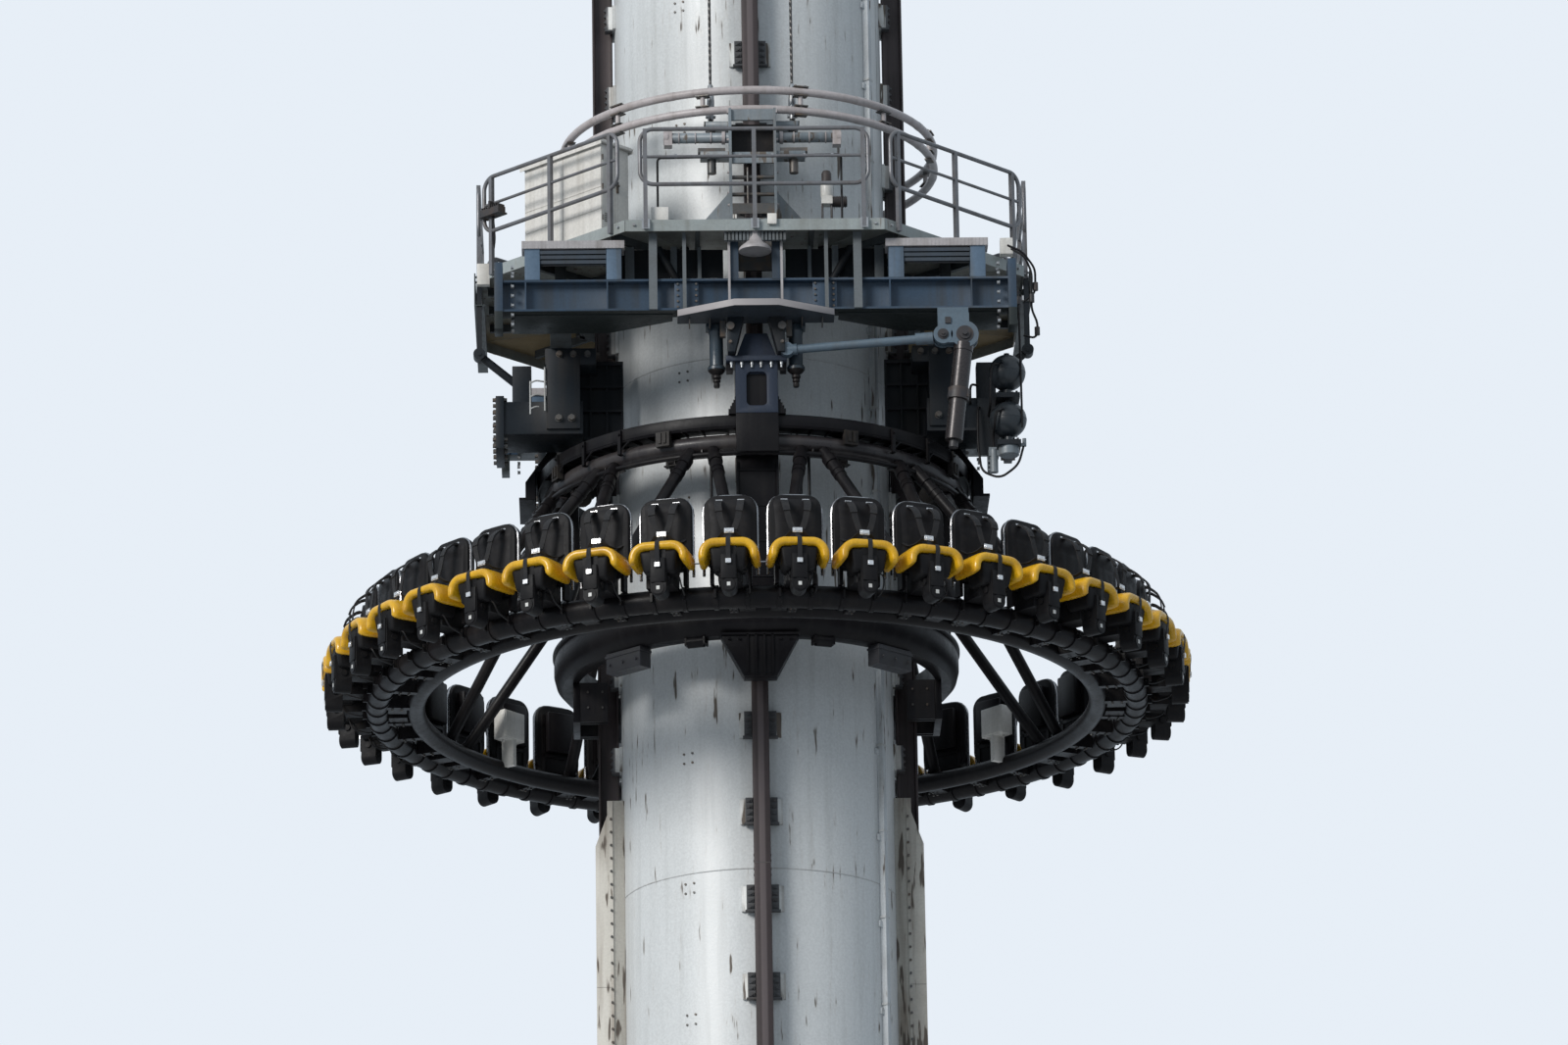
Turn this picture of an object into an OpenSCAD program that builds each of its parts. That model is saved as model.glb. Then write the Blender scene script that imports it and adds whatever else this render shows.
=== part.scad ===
// Drop tower ride: shaft, catch car, gondola carriage and turning ring of seats.
// Millimetres, +Z up, ground at z = 0, the front of the ride looks along -Y.
// Angles around the shaft are counted from the front, towards +X.

/* [Shaft] */
// Outer diameter of the shaft
shaft_d = 3000; // [2000:50:4000]
// Plate thickness of the shaft
shaft_wall = 20; // [8:1:60]
// Height of one welded section
section_h = 5800; // [4000:100:8000]
// Diameter of the base flange
flange_d = 4000; // [3400:50:5000]
// Thickness of the base flange
flange_t = 80; // [30:5:150]
// Number of anchor bolts
anchor_n = 24; // [12:4:48]
// Anchor bolt circle diameter
anchor_pcd = 3760; // [3200:20:4600]
// Anchor bolt hole diameter
anchor_hole_d = 60; // [20:2:100]
// Height of the base gussets
gusset_h = 450; // [200:10:900]
// Thickness of the base gussets
gusset_t = 25; // [10:1:50]

/* [Rails and ducts] */
// Rail flange width
rail_w = 180; // [100:5:300]
// Radius of the rail's running face
rail_r = 1750; // [1600:5:2000]
// Radius of the rail's seat on the consoles
rail_seat_r = 1522; // [1505:1:1600]
// Rail flange thickness
rail_flange = 28; // [10:1:50]
// Rail web thickness
rail_web = 22; // [8:1:50]
// Consoles in one shaft section
console_n = 6; // [3:1:10]
// Console plate width
console_w = 460; // [250:10:700]
// Console plate height
console_h = 280; // [120:10:500]
// Console clamp width beside the rail
clamp_w = 85; // [40:5:150]
// Radius of the console clamp's outer face
clamp_r = 1590; // [1550:5:1640]
// Sideways place of the brake fins
fin_y = 300; // [260:5:400]
// Brake fin thickness
fin_t = 18; // [8:1:30]
// Radius of the brake fin's outer edge
fin_r = 1790; // [1700:5:1850]
// Radius where the brake fin starts
fin_in_r = 1600; // [1560:5:1700]
// Top of the brake fin's mounting bar
fin_bar_top = 18500; // [8000:100:20000]
// Outer radius of the mounting bar
fin_bar_r = 1660; // [1600:5:1700]
// Mounting bar thickness
fin_bar_t = 9; // [5:1:20]
// Drop from the bar's top to the fin's outer corner
fin_taper = 520; // [200:10:1000]
// Lower end of the brake fins
fin_bottom = 420; // [200:10:1500]
// Angle of the cable duct
duct_angle = 60; // [20:1:70]
// Cable duct width
duct_w = 70; // [30:5:150]
// Radius of the cable duct's face
duct_r = 1570; // [1530:5:1650]

/* [Head] */
// Diameter of the cap plate
cap_d = 3360; // [3000:20:4200]
// Thickness of the cap plate
cap_t = 50; // [20:5:100]
// Height of the head beams
head_beam_h = 300; // [150:10:500]
// Width of the head beams
head_beam_w = 200; // [100:10:400]
// Radius of the rope housings
housing_r = 450; // [300:10:700]
// Width of the rope housings
housing_w = 240; // [120:10:400]
// Height of the housing axis over the cap
housing_z = 720; // [500:10:1200]

/* [Gondola place] */
// Height of the seat ring's tubes over the ground
ring_z = 19630; // [3000:10:24000]

/* [Seat ring] */
// Number of seats
seat_n = 40; // [20:4:60]
// Outer ring tube radius
ring_out_r = 4175; // [3500:5:5000]
// Outer ring tube diameter
ring_out_d = 240; // [100:5:400]
// Distance between the two ring tubes
ring_pitch = 425; // [350:5:600]
// Inner ring tube diameter
ring_in_d = 200; // [100:5:400]
// Radius of the track tube
track_r = 2250; // [2000:5:2600]
// Diameter of the track tube
track_d = 190; // [100:5:300]
// Height of the track tube over the ring tubes
track_dz = 2330; // [1500:10:3000]
// Strut diameter
strut_d = 130; // [60:5:200]
// Strut pairs around the ring
strut_n = 12; // [8:1:20]
// Angle between a strut's end and its node
strut_spread = 2.4; // [1.5:0.1:5]
// Strut foot behind the outer ring tube
strut_foot_in = 214; // [150:5:300]
// Width of a ring clamp
ring_clamp_w = 90; // [40:5:200]

// Junction box size along the ring
jbox_w = 340; // [200:10:600]
// Junction box height
jbox_h = 330; // [200:10:600]
// Junction box depth
jbox_t = 160; // [80:10:300]
// Junction box front behind the inner ring tube
jbox_in = 70; // [20:5:200]
// Angle of the junction boxes from the front
jbox_angle = 130; // [90:1:170]
// Height of the junction boxes over the ring tubes' centre
jbox_dz = 300; // [150:10:400]

/* [Seats] */
// Width of a seat shell
shell_w = 560; // [450:5:650]
// Height of a seat shell
shell_h = 800; // [600:10:1000]
// Thickness of a seat shell
shell_t = 110; // [60:5:200]
// Corner radius of a seat shell
shell_corner = 150; // [50:5:250]
// Back of the seat shell beyond the outer ring tube
shell_off = 65; // [0:5:150]
// Lower edge of the seat shell over the ring
shell_z = 270; // [150:5:400]
// Width of the saddle
saddle_w = 640; // [500:5:680]
// Depth of the saddle
saddle_depth = 400; // [250:5:450]
// Thickness of the saddle
saddle_t = 100; // [60:5:150]
// Drop of the saddle's ends
saddle_drop = 250; // [150:5:350]
// Corner radius of the saddle
saddle_corner = 180; // [110:5:240]
// Gap between seat shell and saddle
saddle_gap = 30; // [5:5:60]
// Height of the saddle's top over the ring
saddle_z = 490; // [400:5:600]
// Width of the seat post
post_w = 170; // [100:5:250]
// Depth of the seat post
post_depth = 180; // [100:5:250]
// Seat post behind the back of the saddle, inwards from its front
post_in = 180; // [80:5:250]
// Lower end of the seat post under the ring
post_drop = 110; // [50:5:250]
// Width of the seat pedestal
pedestal_w = 240; // [120:5:400]
// Strap width
strap_w = 60; // [30:5:90]
// Strap thickness
strap_t = 14; // [6:1:30]
// Length of each half of a shoulder strap
strap_l = 240; // [150:10:350]
// Height of the straps' upper end over the ring
strap_z = 1000; // [800:10:1100]
// Sideways place of the shoulder straps
strap_x = 110; // [60:5:180]
// Side loop tube diameter
loop_d = 34; // [20:1:60]

/* [Carriage] */
// Width of the front and back columns
column_w = 460; // [300:10:700]
// Width of the side columns
side_column_w = 700; // [400:10:900]
// Radius of the column's inner face
column_in_r = 1945; // [1900:5:2000]
// Inner radius of the upper ring beam
beam_in_r = 2125; // [2050:5:2200]
// Outer radius of the upper ring beam
beam_out_r = 2400; // [2300:5:2600]
// Lower face of the ring beam over the ring
beam_dz = 2475; // [2300:5:2700]
// Height of the ring beam
beam_h = 130; // [60:5:250]
// Top of the front and back columns over the ring
column_top = 3180; // [2900:10:3400]
// Top of the side columns over the ring
side_column_top = 2900; // [2700:10:3200]
// Lower face of the lower ring over the seat ring
low_ring_z = 200; // [100:10:400]
// Height of the lower ring
low_ring_h = 400; // [200:10:600]
// Inner radius of the lower ring
low_ring_in_r = 1980; // [1960:5:2050]
// Outer radius of the lower ring
low_ring_out_r = 2230; // [2150:5:2400]
// Lower end of the side columns under the ring
side_column_low = 250; // [200:10:1200]
// Face of the side column's lower plate
side_plate_r = 2020; // [1960:5:2100]
// Radius of the column head's outer face
head_r = 2450; // [2420:5:2600]
// Height of the column head flange
head_flange_h = 60; // [30:5:100]
// Width of the column head flange
head_flange_w = 660; // [500:10:900]
// Height of the catch tongue on the head
tongue_h = 270; // [150:10:400]
// Width of the catch tongue at its foot
tongue_w = 440; // [250:10:600]
// Width of the catch tongue at its top
tongue_top_w = 240; // [150:10:400]
// Window width in the column head
window_w = 220; // [100:10:350]
// Window height in the column head
window_h = 380; // [200:10:450]
// Lower edge of the column apron over the ring
apron_z = 2170; // [2000:10:2300]
// Thickness of the column apron
apron_t = 75; // [20:5:90]
// Top width of the lower trapezoid plate
keel_top_w = 860; // [600:10:1000]
// Bottom width of the lower trapezoid plate
keel_low_w = 350; // [200:10:500]
// Height of the lower trapezoid plate
keel_h = 480; // [300:10:700]
// Depth of the lower trapezoid box
keel_depth = 200; // [100:10:250]
// Magnet cheek thickness
cheek_t = 22; // [10:1:40]
// Gap between a magnet cheek and the brake fin
cheek_gap = 14; // [6:1:30]
// Radius where the magnet cheeks start
cheek_r = 1640; // [1610:5:1700]
// Width of a wing
wing_w = 900; // [400:10:1000]
// Number of bogies on the track tube
bogie_n = 8; // [4:4:12]
// Angle of the first bogie from a column
bogie_angle = 25; // [15:1:40]
// Roller diameter of the bogies
bogie_roller_d = 80; // [60:2:90]
// Thickness of the bogie hanger plate
hanger_t = 18; // [8:1:25]

/* [Rollers] */
// Diameter of the face rollers
face_roller_d = 170; // [100:5:180]
// Diameter of the side rollers
side_roller_d = 128; // [80:2:140]
// Roller width
roller_w = 60; // [30:5:90]
// Running gap between a roller and its track
roller_gap = 0.3; // [0.1:0.1:2]
// Roller plate thickness
roller_plate = 20; // [10:1:40]
// Length of a roller block
roller_block_h = 420; // [300:10:600]
// Height of the catch car's lower rollers on the front and back rails above the ring
roller_low_dz = 3900; // [3700:10:4000]
// Height of the catch car's upper rollers
roller_high_dz = 5750; // [5500:10:5900]
// Height of the catch car's rollers on the side rails
roller_side_dz = 3850; // [3700:10:4000]

/* [Catch car] */
// Deck top over the ring
deck_dz = 4700; // [4500:10:5000]
// Distance from the shaft's axis to the deck's front edge
deck_front = 2800; // [2600:10:3200]
// Distance from the shaft's axis to the deck's side edge
deck_side = 3000; // [2800:10:3400]
// Half the length of the deck's front edge
deck_front_half = 1410; // [1200:10:1800]
// Half the length of the deck's side edge
deck_side_half = 1200; // [1000:10:1600]
// Distance from the shaft's axis to the deck's inner edges
deck_hole = 1830; // [1800:5:1900]
// Deck plate thickness
deck_t = 15; // [6:1:30]
// Fascia height
fascia_h = 130; // [60:5:250]
// Fascia thickness
fascia_t = 14; // [6:1:30]
// Gap between the deck's segments
deck_joint = 6; // [2:1:12]
// Railing height over the deck
railing_h = 1060; // [900:10:1300]
// Railing tube diameter
railing_d = 46; // [30:1:70]
// Railing rod diameter for the middle rails
railing_rod_d = 34; // [20:1:60]
// Lower edge of the railing loops over the deck
railing_low = 400; // [150:10:600]
// Corner radius of the railing loops
railing_corner = 150; // [60:10:250]
// Railing post width
railing_post = 46; // [20:1:80]
// Outward offset of the railing from the deck's edge
railing_off = 23.3; // [23:0.1:80]
// Cabinet length
cabinet_l = 1200; // [600:10:1500]
// Cabinet depth
cabinet_d = 420; // [200:10:700]
// Cabinet height
cabinet_h = 1020; // [500:10:1200]
// Cabinet roof thickness
cabinet_roof = 40; // [10:5:80]
// Distance of the cabinet from the deck's edge
cabinet_in = 170; // [100:10:300]
// Radius of the upper tube ring
hoop_r = 2080; // [1980:5:2300]
// Tube diameter of the upper tube ring
hoop_d = 90; // [40:5:140]
// Height of the lower hoop over the ring
hoop_dz = 6240; // [6100:10:6600]
// Distance between the two hoops
hoop_gap = 225; // [150:5:400]
// Spacers around the hoops
hoop_n = 12; // [8:1:20]
// Main beam height
main_h = 360; // [200:10:500]
// Main beam flange width
main_w = 230; // [120:10:400]
// Main beam flange thickness
main_flange = 25; // [10:1:50]
// Main beam web thickness
main_web = 16; // [8:1:40]
// Distance from the shaft's axis to the main beam
main_y = 2500; // [2400:10:2700]
// Length of the main beam
main_l = 5480; // [4800:10:6000]
// Cover plate thickness under the main beams
cover_t = 12; // [6:1:30]
// Distance of the cover plates' inner edge from the shaft's axis, front to back
cover_y = 1900; // [1850:10:2200]
// Sideways start of the slanted edge of the cover plates
cover_x = 1600; // [1400:10:1800]
// Depth of the cover plates at their narrow end
cover_narrow = 215; // [150:5:300]
// Main beam top over the ring
main_dz = 4085; // [3900:5:4300]
// Main beam end plate height
end_plate_h = 760; // [400:10:900]
// Main beam end plate thickness
end_plate_t = 90; // [15:5:120]
// Distance from the shaft's axis to the side beam
side_beam_x = 2120; // [2000:10:2400]
// Centre of a portal in from the end of the main beam
portal_in = 765; // [700:5:1000]
// Portal width
portal_w = 1050; // [800:10:1300]
// Portal post width
portal_post = 165; // [80:5:250]
// Portal height
portal_h = 440; // [300:10:500]
// Portal top thickness
portal_top = 85; // [40:5:150]
// Visor thickness
visor_t = 80; // [30:5:150]
// Visor front
visor_r = 2990; // [2800:10:3200]
// Visor shoulder
visor_side_r = 2640; // [2500:10:2800]
// Visor back
visor_back_r = 2385; // [2300:5:2500]
// Half the visor's width
visor_half = 850; // [600:10:1200]
// Half the width of the visor's nose
visor_nose = 240; // [100:10:500]
// Guide tower half width
tower_x = 260; // [200:5:400]
// Guide tower plate thickness
tower_t = 30; // [10:1:60]
// Guide tower depth
tower_depth = 300; // [200:10:400]
// Radius of the guide tower's inner edge
tower_r = 1960; // [1900:5:2050]
// Guide tower top over the ring
tower_top = 6190; // [5800:10:6300]
// Height of the guide tower's cross cylinders above the ring
cross_dz = 5900; // [5600:10:6100]
// Cross cylinder diameter
cross_d = 115; // [60:5:200]
// Cross cylinder length
cross_l = 700; // [400:10:900]
// Buffer diameter
buffer_d = 150; // [80:5:250]
// Sideways place of the buffers
buffer_x = 430; // [350:5:600]
// Length of the buffer body
buffer_l = 470; // [300:10:700]
// Lower end of the buffers over the ring
buffer_dz = 2930; // [2750:10:3100]
// Rod diameter of the release linkage
rod_d = 100; // [50:5:160]
// Arm diameter of the release linkage
arm_d = 170; // [80:5:250]
// Accumulator sphere diameter
sphere_d = 410; // [250:10:500]
// Height of the upper accumulator over the ring
accumulator_dz = 3326; // [3200:1:3500]
// Sideways place of the accumulators
sphere_x = 2760; // [2500:10:3000]
// Distance between the two spheres
sphere_pitch = 540; // [450:10:700]
// Leg width of the lower frame
leg_w = 370; // [300:10:700]
// Leg depth of the lower frame
leg_d = 740; // [700:10:900]
// Distance from the shaft's axis to the legs
leg_x = 2100; // [1900:10:2300]
// Front-to-back place of the legs
leg_y = 1000; // [800:10:1300]
// Lower beam height
low_beam_h = 375; // [300:5:700]
// Lower beam width
low_beam_w = 660; // [300:10:700]
// Lower beam bottom over the ring
low_beam_dz = 2750; // [2650:10:2900]
// Reach of the lower frame's end plates from the shaft's centre
low_beam_x = 2840; // [2600:10:3100]
// Lower frame's end plate height
low_plate_h = 600; // [550:10:1000]
// Lower frame's end plate thickness
low_plate_t = 90; // [20:5:120]
// Overhang of the end plates below the lower beam
low_plate_drop = 165; // [50:5:250]
// Reach of the back end plates from the shaft's centre
low_back_x = 2400; // [2350:10:3100]
// Height of the head block on each leg
leg_head_h = 185; // [100:5:300]
// Width of the head block on each leg
leg_head_w = 560; // [400:10:700]
// Inner face of the upright box on the front lower beam
beam_post_x = 2450; // [2400:10:2600]
// Width of the upright box
beam_post_w = 210; // [100:10:250]
// Height of the upright box
beam_post_h = 490; // [200:10:550]
// Lift rope diameter
rope_d = 34; // [16:1:60]
// Sideways place of the lift ropes
rope_x = 450; // [400:5:600]
// Front-to-back place of the lift ropes
rope_y = 1850; // [1800:5:1950]

/* [Hidden] */
ring_in_r = ring_out_r - ring_pitch;
strut_foot_r = ring_out_r - strut_foot_in;
jbox_r = ring_in_r - jbox_in;
shell_r = ring_out_r + shell_off;
saddle_r = shell_r + shell_t + saddle_gap;
post_r = saddle_r + post_in;
portal_x = main_l / 2 - portal_in;
shaft_r = shaft_d / 2;
shaft_h = 6 * section_h;
console_pitch = section_h / console_n;
rail_top = shaft_h;
seat_step = 360 / seat_n;
strut_step = 360 / strut_n;
deck_z = ring_z + deck_dz;
beam_z = ring_z + beam_dz;
beam_top = beam_z + beam_h;
main_z = ring_z + main_dz;
low_ring_base = ring_z + low_ring_z;
low_ring_top = low_ring_base + low_ring_h;
head_top = ring_z + column_top;
track_z = ring_z + track_dz;
hoop_z = ring_z + hoop_dz;
keel_z = low_ring_base - keel_h;
tower_z = ring_z + tower_top;
rope_top = shaft_h + cap_t + housing_z;
edge_dx = deck_side - deck_front_half;
edge_dy = deck_front - deck_side_half;
edge_l = sqrt(edge_dx * edge_dx + edge_dy * edge_dy);
edge_a = atan2(edge_dy, edge_dx);
edge_mid_x = (deck_side + deck_front_half) / 2;
edge_mid_y = (deck_front + deck_side_half) / 2;
hole_corner = deck_hole * tan(22.5);
$fn = 96;

// Shared shapes

// A box whose low corner and size are given, in the frame of the front
module block(x, y, z, sx, sy, sz) {
  translate([x, y, z]) cube([sx, sy, sz]);
}

// A box centred on X between two radii and two heights at the front
module radial_box(w, r0, r1, z0, z1) {
  translate([-w / 2, -r1, z0]) cube([w, r1 - r0, z1 - z0]);
}

// Turns what is drawn at the front to another angle
module at(a) {
  rotate([0, 0, a]) children();
}

// A round bar between two points
module bar(p, q, d) {
  v = q - p;
  l = norm(v);
  b = acos(v[2] / l);
  c = atan2(v[1], v[0]);
  translate(p) rotate([0, b, c]) cylinder(h = l, d = d);
}

// A flat ring
module flat_ring(ro, ri, h) {
  difference() {
    cylinder(h = h, r = ro);
    translate([0, 0, -1]) cylinder(h = h + 2, r = ri);
  }
}

// A plate with rounded corners, standing across X and Z
module round_plate(w, h, c, t) {
  rotate([90, 0, 0]) linear_extrude(t) union() {
    translate([-w / 2 + c, 0]) square([w - 2 * c, h]);
    translate([-w / 2, c]) square([w, h - 2 * c]);
    for (x = [-1, 1])
      for (z = [c, h - c])
        translate([x * (w / 2 - c), z]) circle(r = c);
  }
}

// An I-shaped profile along Z, its depth along -Y
module i_profile(w, d, flange, web) {
  polygon([[-w / 2, 0], [w / 2, 0], [w / 2, -flange], [web / 2, -flange],
    [web / 2, -d + flange], [w / 2, -d + flange], [w / 2, -d], [-w / 2, -d],
    [-w / 2, -d + flange], [-web / 2, -d + flange], [-web / 2, -flange], [-w / 2, -flange]]);
}

// Tower

module base_flange() {
  color("#b9bcbc") union() {
    difference() {
      cylinder(h = flange_t, d = flange_d);
      for (i = [0:anchor_n - 1])
        rotate([0, 0, i * 360 / anchor_n])
          translate([0, -anchor_pcd / 2, -1]) cylinder(h = flange_t + 2, d = anchor_hole_d);
    }
    difference() {
      for (i = [0:anchor_n - 1])
        rotate([0, 0, (i + 0.5) * 360 / anchor_n])
          translate([gusset_t / 2, 0, flange_t]) rotate([90, 0, -90]) linear_extrude(gusset_t)
            polygon([[shaft_r - 40, -5], [flange_d / 2 - 60, -5], [flange_d / 2 - 60, 60],
              [shaft_r + 40, gusset_h], [shaft_r - 40, gusset_h]]);
      translate([0, 0, -1]) cylinder(h = gusset_h + flange_t + 2, r = shaft_r);
    }
  }
}

module shaft_section(i) {
  z0 = i * section_h + (i == 0 ? flange_t : 0);
  z1 = (i + 1) * section_h;
  color("#ced2d2") difference() {
    translate([0, 0, z0]) cylinder(h = z1 - z0, r = shaft_r);
    translate([0, 0, z0 + shaft_wall])
      cylinder(h = z1 - z0 - 2 * shaft_wall, r = shaft_r - shaft_wall);
  }
}

module head_frame() {
  base = shaft_h + cap_t;
  color("#8b9198") union() {
    translate([0, 0, shaft_h]) cylinder(h = cap_t, d = cap_d);
    for (x = [-rope_x - housing_w / 2 - 60, rope_x - housing_w / 2 - 60])
      block(x, -cap_d / 2 + 60, base, housing_w + 120, cap_d - 120, head_beam_h);
    block(-cap_d / 2 + 160, -head_beam_w / 2, base, cap_d - 320, head_beam_w, head_beam_h);
    for (s = [-1, 1])
      for (t = [-1, 1])
        difference() {
          translate([s * rope_x - housing_w / 2, t * (rope_y - housing_r + 60), base + housing_z])
            rotate([0, 90, 0]) cylinder(h = housing_w, r = housing_r);
          translate([s * rope_x - housing_w / 2 + 25, t * rope_y - 40, base - 200])
            cube([housing_w - 50, 80, housing_z + 200]);
        }
  }
}

module rails() {
  color("#3b2c2c")
    for (a = [0:90:270])
      at(a) translate([0, -rail_seat_r, flange_t]) linear_extrude(rail_top - flange_t)
        i_profile(rail_w, rail_r - rail_seat_r, rail_flange, rail_web);
}

module rail_consoles() {
  color("#d8dad8")
    for (a = [0:90:270])
      at(a)
        for (k = [2:6 * console_n - 1])
          translate([0, 0, k * console_pitch - console_pitch / 2]) linear_extrude(console_h)
            difference() {
              union() {
                translate([-console_w / 2, -rail_seat_r])
                  square([console_w, rail_seat_r - shaft_r + 60]);
                for (s = [-1, 1])
                  translate([s * (rail_w / 2 + clamp_w / 2) - clamp_w / 2, -clamp_r])
                    square([clamp_w, clamp_r - rail_seat_r + 5]);
              }
              circle(r = shaft_r);
            }
}

module brake_fins() {
  color("#c4bfb2") difference() {
    for (s = [-1, 1])
      for (t = [-1, 1]) {
        y = t > 0 ? fin_y - fin_t / 2 - fin_bar_t : -fin_y + fin_t / 2;
        scale([s, 1, 1]) {
          block(shaft_r - 60, y, fin_bottom, fin_bar_r - shaft_r + 60, fin_bar_t,
            fin_bar_top - fin_bottom);
          translate([0, t * fin_y + fin_t / 2, 0]) rotate([90, 0, 0]) linear_extrude(fin_t)
            polygon([[fin_in_r, fin_bottom], [fin_r, fin_bottom],
              [fin_r, fin_bar_top - fin_taper], [fin_in_r, fin_bar_top]]);
        }
      }
    cylinder(h = rail_top, r = shaft_r);
  }
}

module cable_duct() {
  color("#c9cccb") difference() {
    at(duct_angle) {
      radial_box(duct_w, shaft_r - 20, duct_r, flange_t + gusset_h + 30, rail_top - 100);
      for (k = [2:6 * console_n - 1])
        translate([0, 0, k * console_pitch - console_pitch / 2])
          radial_box(duct_w + 90, shaft_r - 20, shaft_r + 25, 0, 70);
    }
    cylinder(h = rail_top, r = shaft_r);
  }
}

// Catch car

module deck_segment(outer_a, outer_b, inner_a, inner_b) {
  d = deck_joint / 2;
  mid = (outer_a + outer_b + inner_a + inner_b) / 4;
  u = (outer_b - outer_a) / norm(outer_b - outer_a);
  n = [u[1], -u[0]];
  f = (n * (outer_a - mid)) > 0 ? 1 : -1;
  oa = outer_a + u * d;
  ob = outer_b - u * d;
  ia = inner_a + u * d;
  ib = inner_b - u * d;
  translate([0, 0, deck_z - deck_t]) linear_extrude(deck_t) polygon([oa, ob, ib, ia]);
  translate([0, 0, deck_z - fascia_h]) linear_extrude(fascia_h)
    polygon([oa, ob, ob - n * f * fascia_t - u * fascia_t / 2,
      oa - n * f * fascia_t + u * fascia_t / 2]);
}

module catch_deck() {
  o = [[deck_front_half, -deck_front], [deck_side, -deck_side_half], [deck_side, deck_side_half],
    [deck_front_half, deck_front], [-deck_front_half, deck_front], [-deck_side, deck_side_half],
    [-deck_side, -deck_side_half], [-deck_front_half, -deck_front]];
  q = [[hole_corner, -deck_hole], [deck_hole, -hole_corner], [deck_hole, hole_corner],
    [hole_corner, deck_hole], [-hole_corner, deck_hole], [-deck_hole, hole_corner],
    [-deck_hole, -hole_corner], [-hole_corner, -deck_hole]];
  color("#9aa5a4") difference() {
    for (i = [0:7]) deck_segment(o[i], o[(i + 1) % 8], q[i], q[(i + 1) % 8]);
    for (a = [0, 180])
      at(a) radial_box(2 * tower_x + 10, deck_hole - 50, tower_r + tower_depth + 5,
        deck_z - deck_t - 1, deck_z + 1);
  }
}

// One railing panel of a width, standing on the fascia at Y = 0, centred on X
module railing_panel(w, posts) {
  c = railing_corner;
  r = railing_d / 2;
  lo = railing_low;
  hi = railing_h - r;
  bar([-w / 2 + c, 0, hi], [w / 2 - c, 0, hi], railing_d);
  bar([-w / 2 + c, 0, lo], [w / 2 - c, 0, lo], railing_d);
  for (s = [-1, 1]) {
    bar([s * w / 2, 0, lo + c], [s * w / 2, 0, hi - c], railing_d);
    for (k = [0, 1])
      translate([s * (w / 2 - c), 0, k > 0 ? hi - c : lo + c])
        rotate([90, 0, 0]) rotate([0, 0, s > 0 ? (k > 0 ? 0 : -90) : (k > 0 ? 90 : 180)])
          rotate_extrude(angle = 90) translate([c, 0]) circle(d = railing_d);
  }
  bar([-w / 2, 0, (lo + hi) / 2], [w / 2, 0, (lo + hi) / 2], railing_rod_d);
  for (x = posts)
    translate([x - railing_post / 2, -railing_post / 2, -fascia_h + 20])
      cube([railing_post, railing_post, hi + fascia_h - 20]);
}

module front_panel(s) {
  translate([0, -s * (deck_front + railing_off), deck_z])
    railing_panel(2 * deck_front_half - 340, [-0.42 * 2 * deck_front_half, 0,
      0.42 * 2 * deck_front_half]);
}

module side_panel(s) {
  translate([s * (deck_side + railing_off), 0, deck_z]) rotate([0, 0, 90])
    railing_panel(2 * deck_side_half - 160, [-deck_side_half + 130, 0, deck_side_half - 130]);
}

module corner_panel(s, t) {
  n = [sin(edge_a), cos(edge_a)];
  translate([s * (edge_mid_x + n[0] * railing_off), t * (edge_mid_y + n[1] * railing_off), deck_z])
    rotate([0, 0, -s * t * edge_a])
      railing_panel(edge_l - 170, [-edge_l / 2 + 200, 0, edge_l / 2 - 200]);
}

module railing_front() {
  color("#77777c") front_panel(1);
}

module railing_back() {
  color("#77777c") front_panel(-1);
}

module railing_side(s) {
  color("#77777c") {
    side_panel(s);
    corner_panel(s, 1);
    corner_panel(s, -1);
  }
}

module cabinet() {
  n = [-sin(edge_a), -cos(edge_a)];
  c = [-edge_mid_x, -edge_mid_y] - n * (cabinet_in + cabinet_d / 2);
  color("#e0dcd6") translate([c[0], c[1], deck_z]) rotate([0, 0, -edge_a]) union() {
    block(-cabinet_l / 2, -cabinet_d / 2, 60, cabinet_l, cabinet_d, cabinet_h);
    block(-cabinet_l / 2 - 40, -cabinet_d / 2 - 40, 60 + cabinet_h, cabinet_l + 80,
      cabinet_d + 80, cabinet_roof);
    for (s = [-1, 1])
      block(s * (cabinet_l / 2 - 120) - 40, -cabinet_d / 2 + 20, 0, 80, cabinet_d - 40, 60);
  }
}

module tube_ring() {
  color("#b3a9a9") union() {
    for (k = [0, 1])
      translate([0, 0, hoop_z + k * hoop_gap]) rotate_extrude()
        translate([hoop_r, 0]) circle(d = hoop_d);
    for (i = [0:hoop_n - 1])
      at((i + 0.5) * 360 / hoop_n) translate([0, -hoop_r, hoop_z])
        cylinder(h = hoop_gap, d = hoop_d * 0.6);
    for (s = [-1, 1])
      for (x = [-1, 1])
        block(x * (tower_x - tower_t / 2) - 30, s * hoop_r - 30, tower_z + 0.2, 60, 60,
          hoop_z - tower_z);
  }
}

module cross_beam(l) {
  rotate([90, 0, 90]) translate([0, 0, -l / 2]) linear_extrude(l)
    i_profile(main_w, main_h, main_flange, main_web);
}

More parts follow.
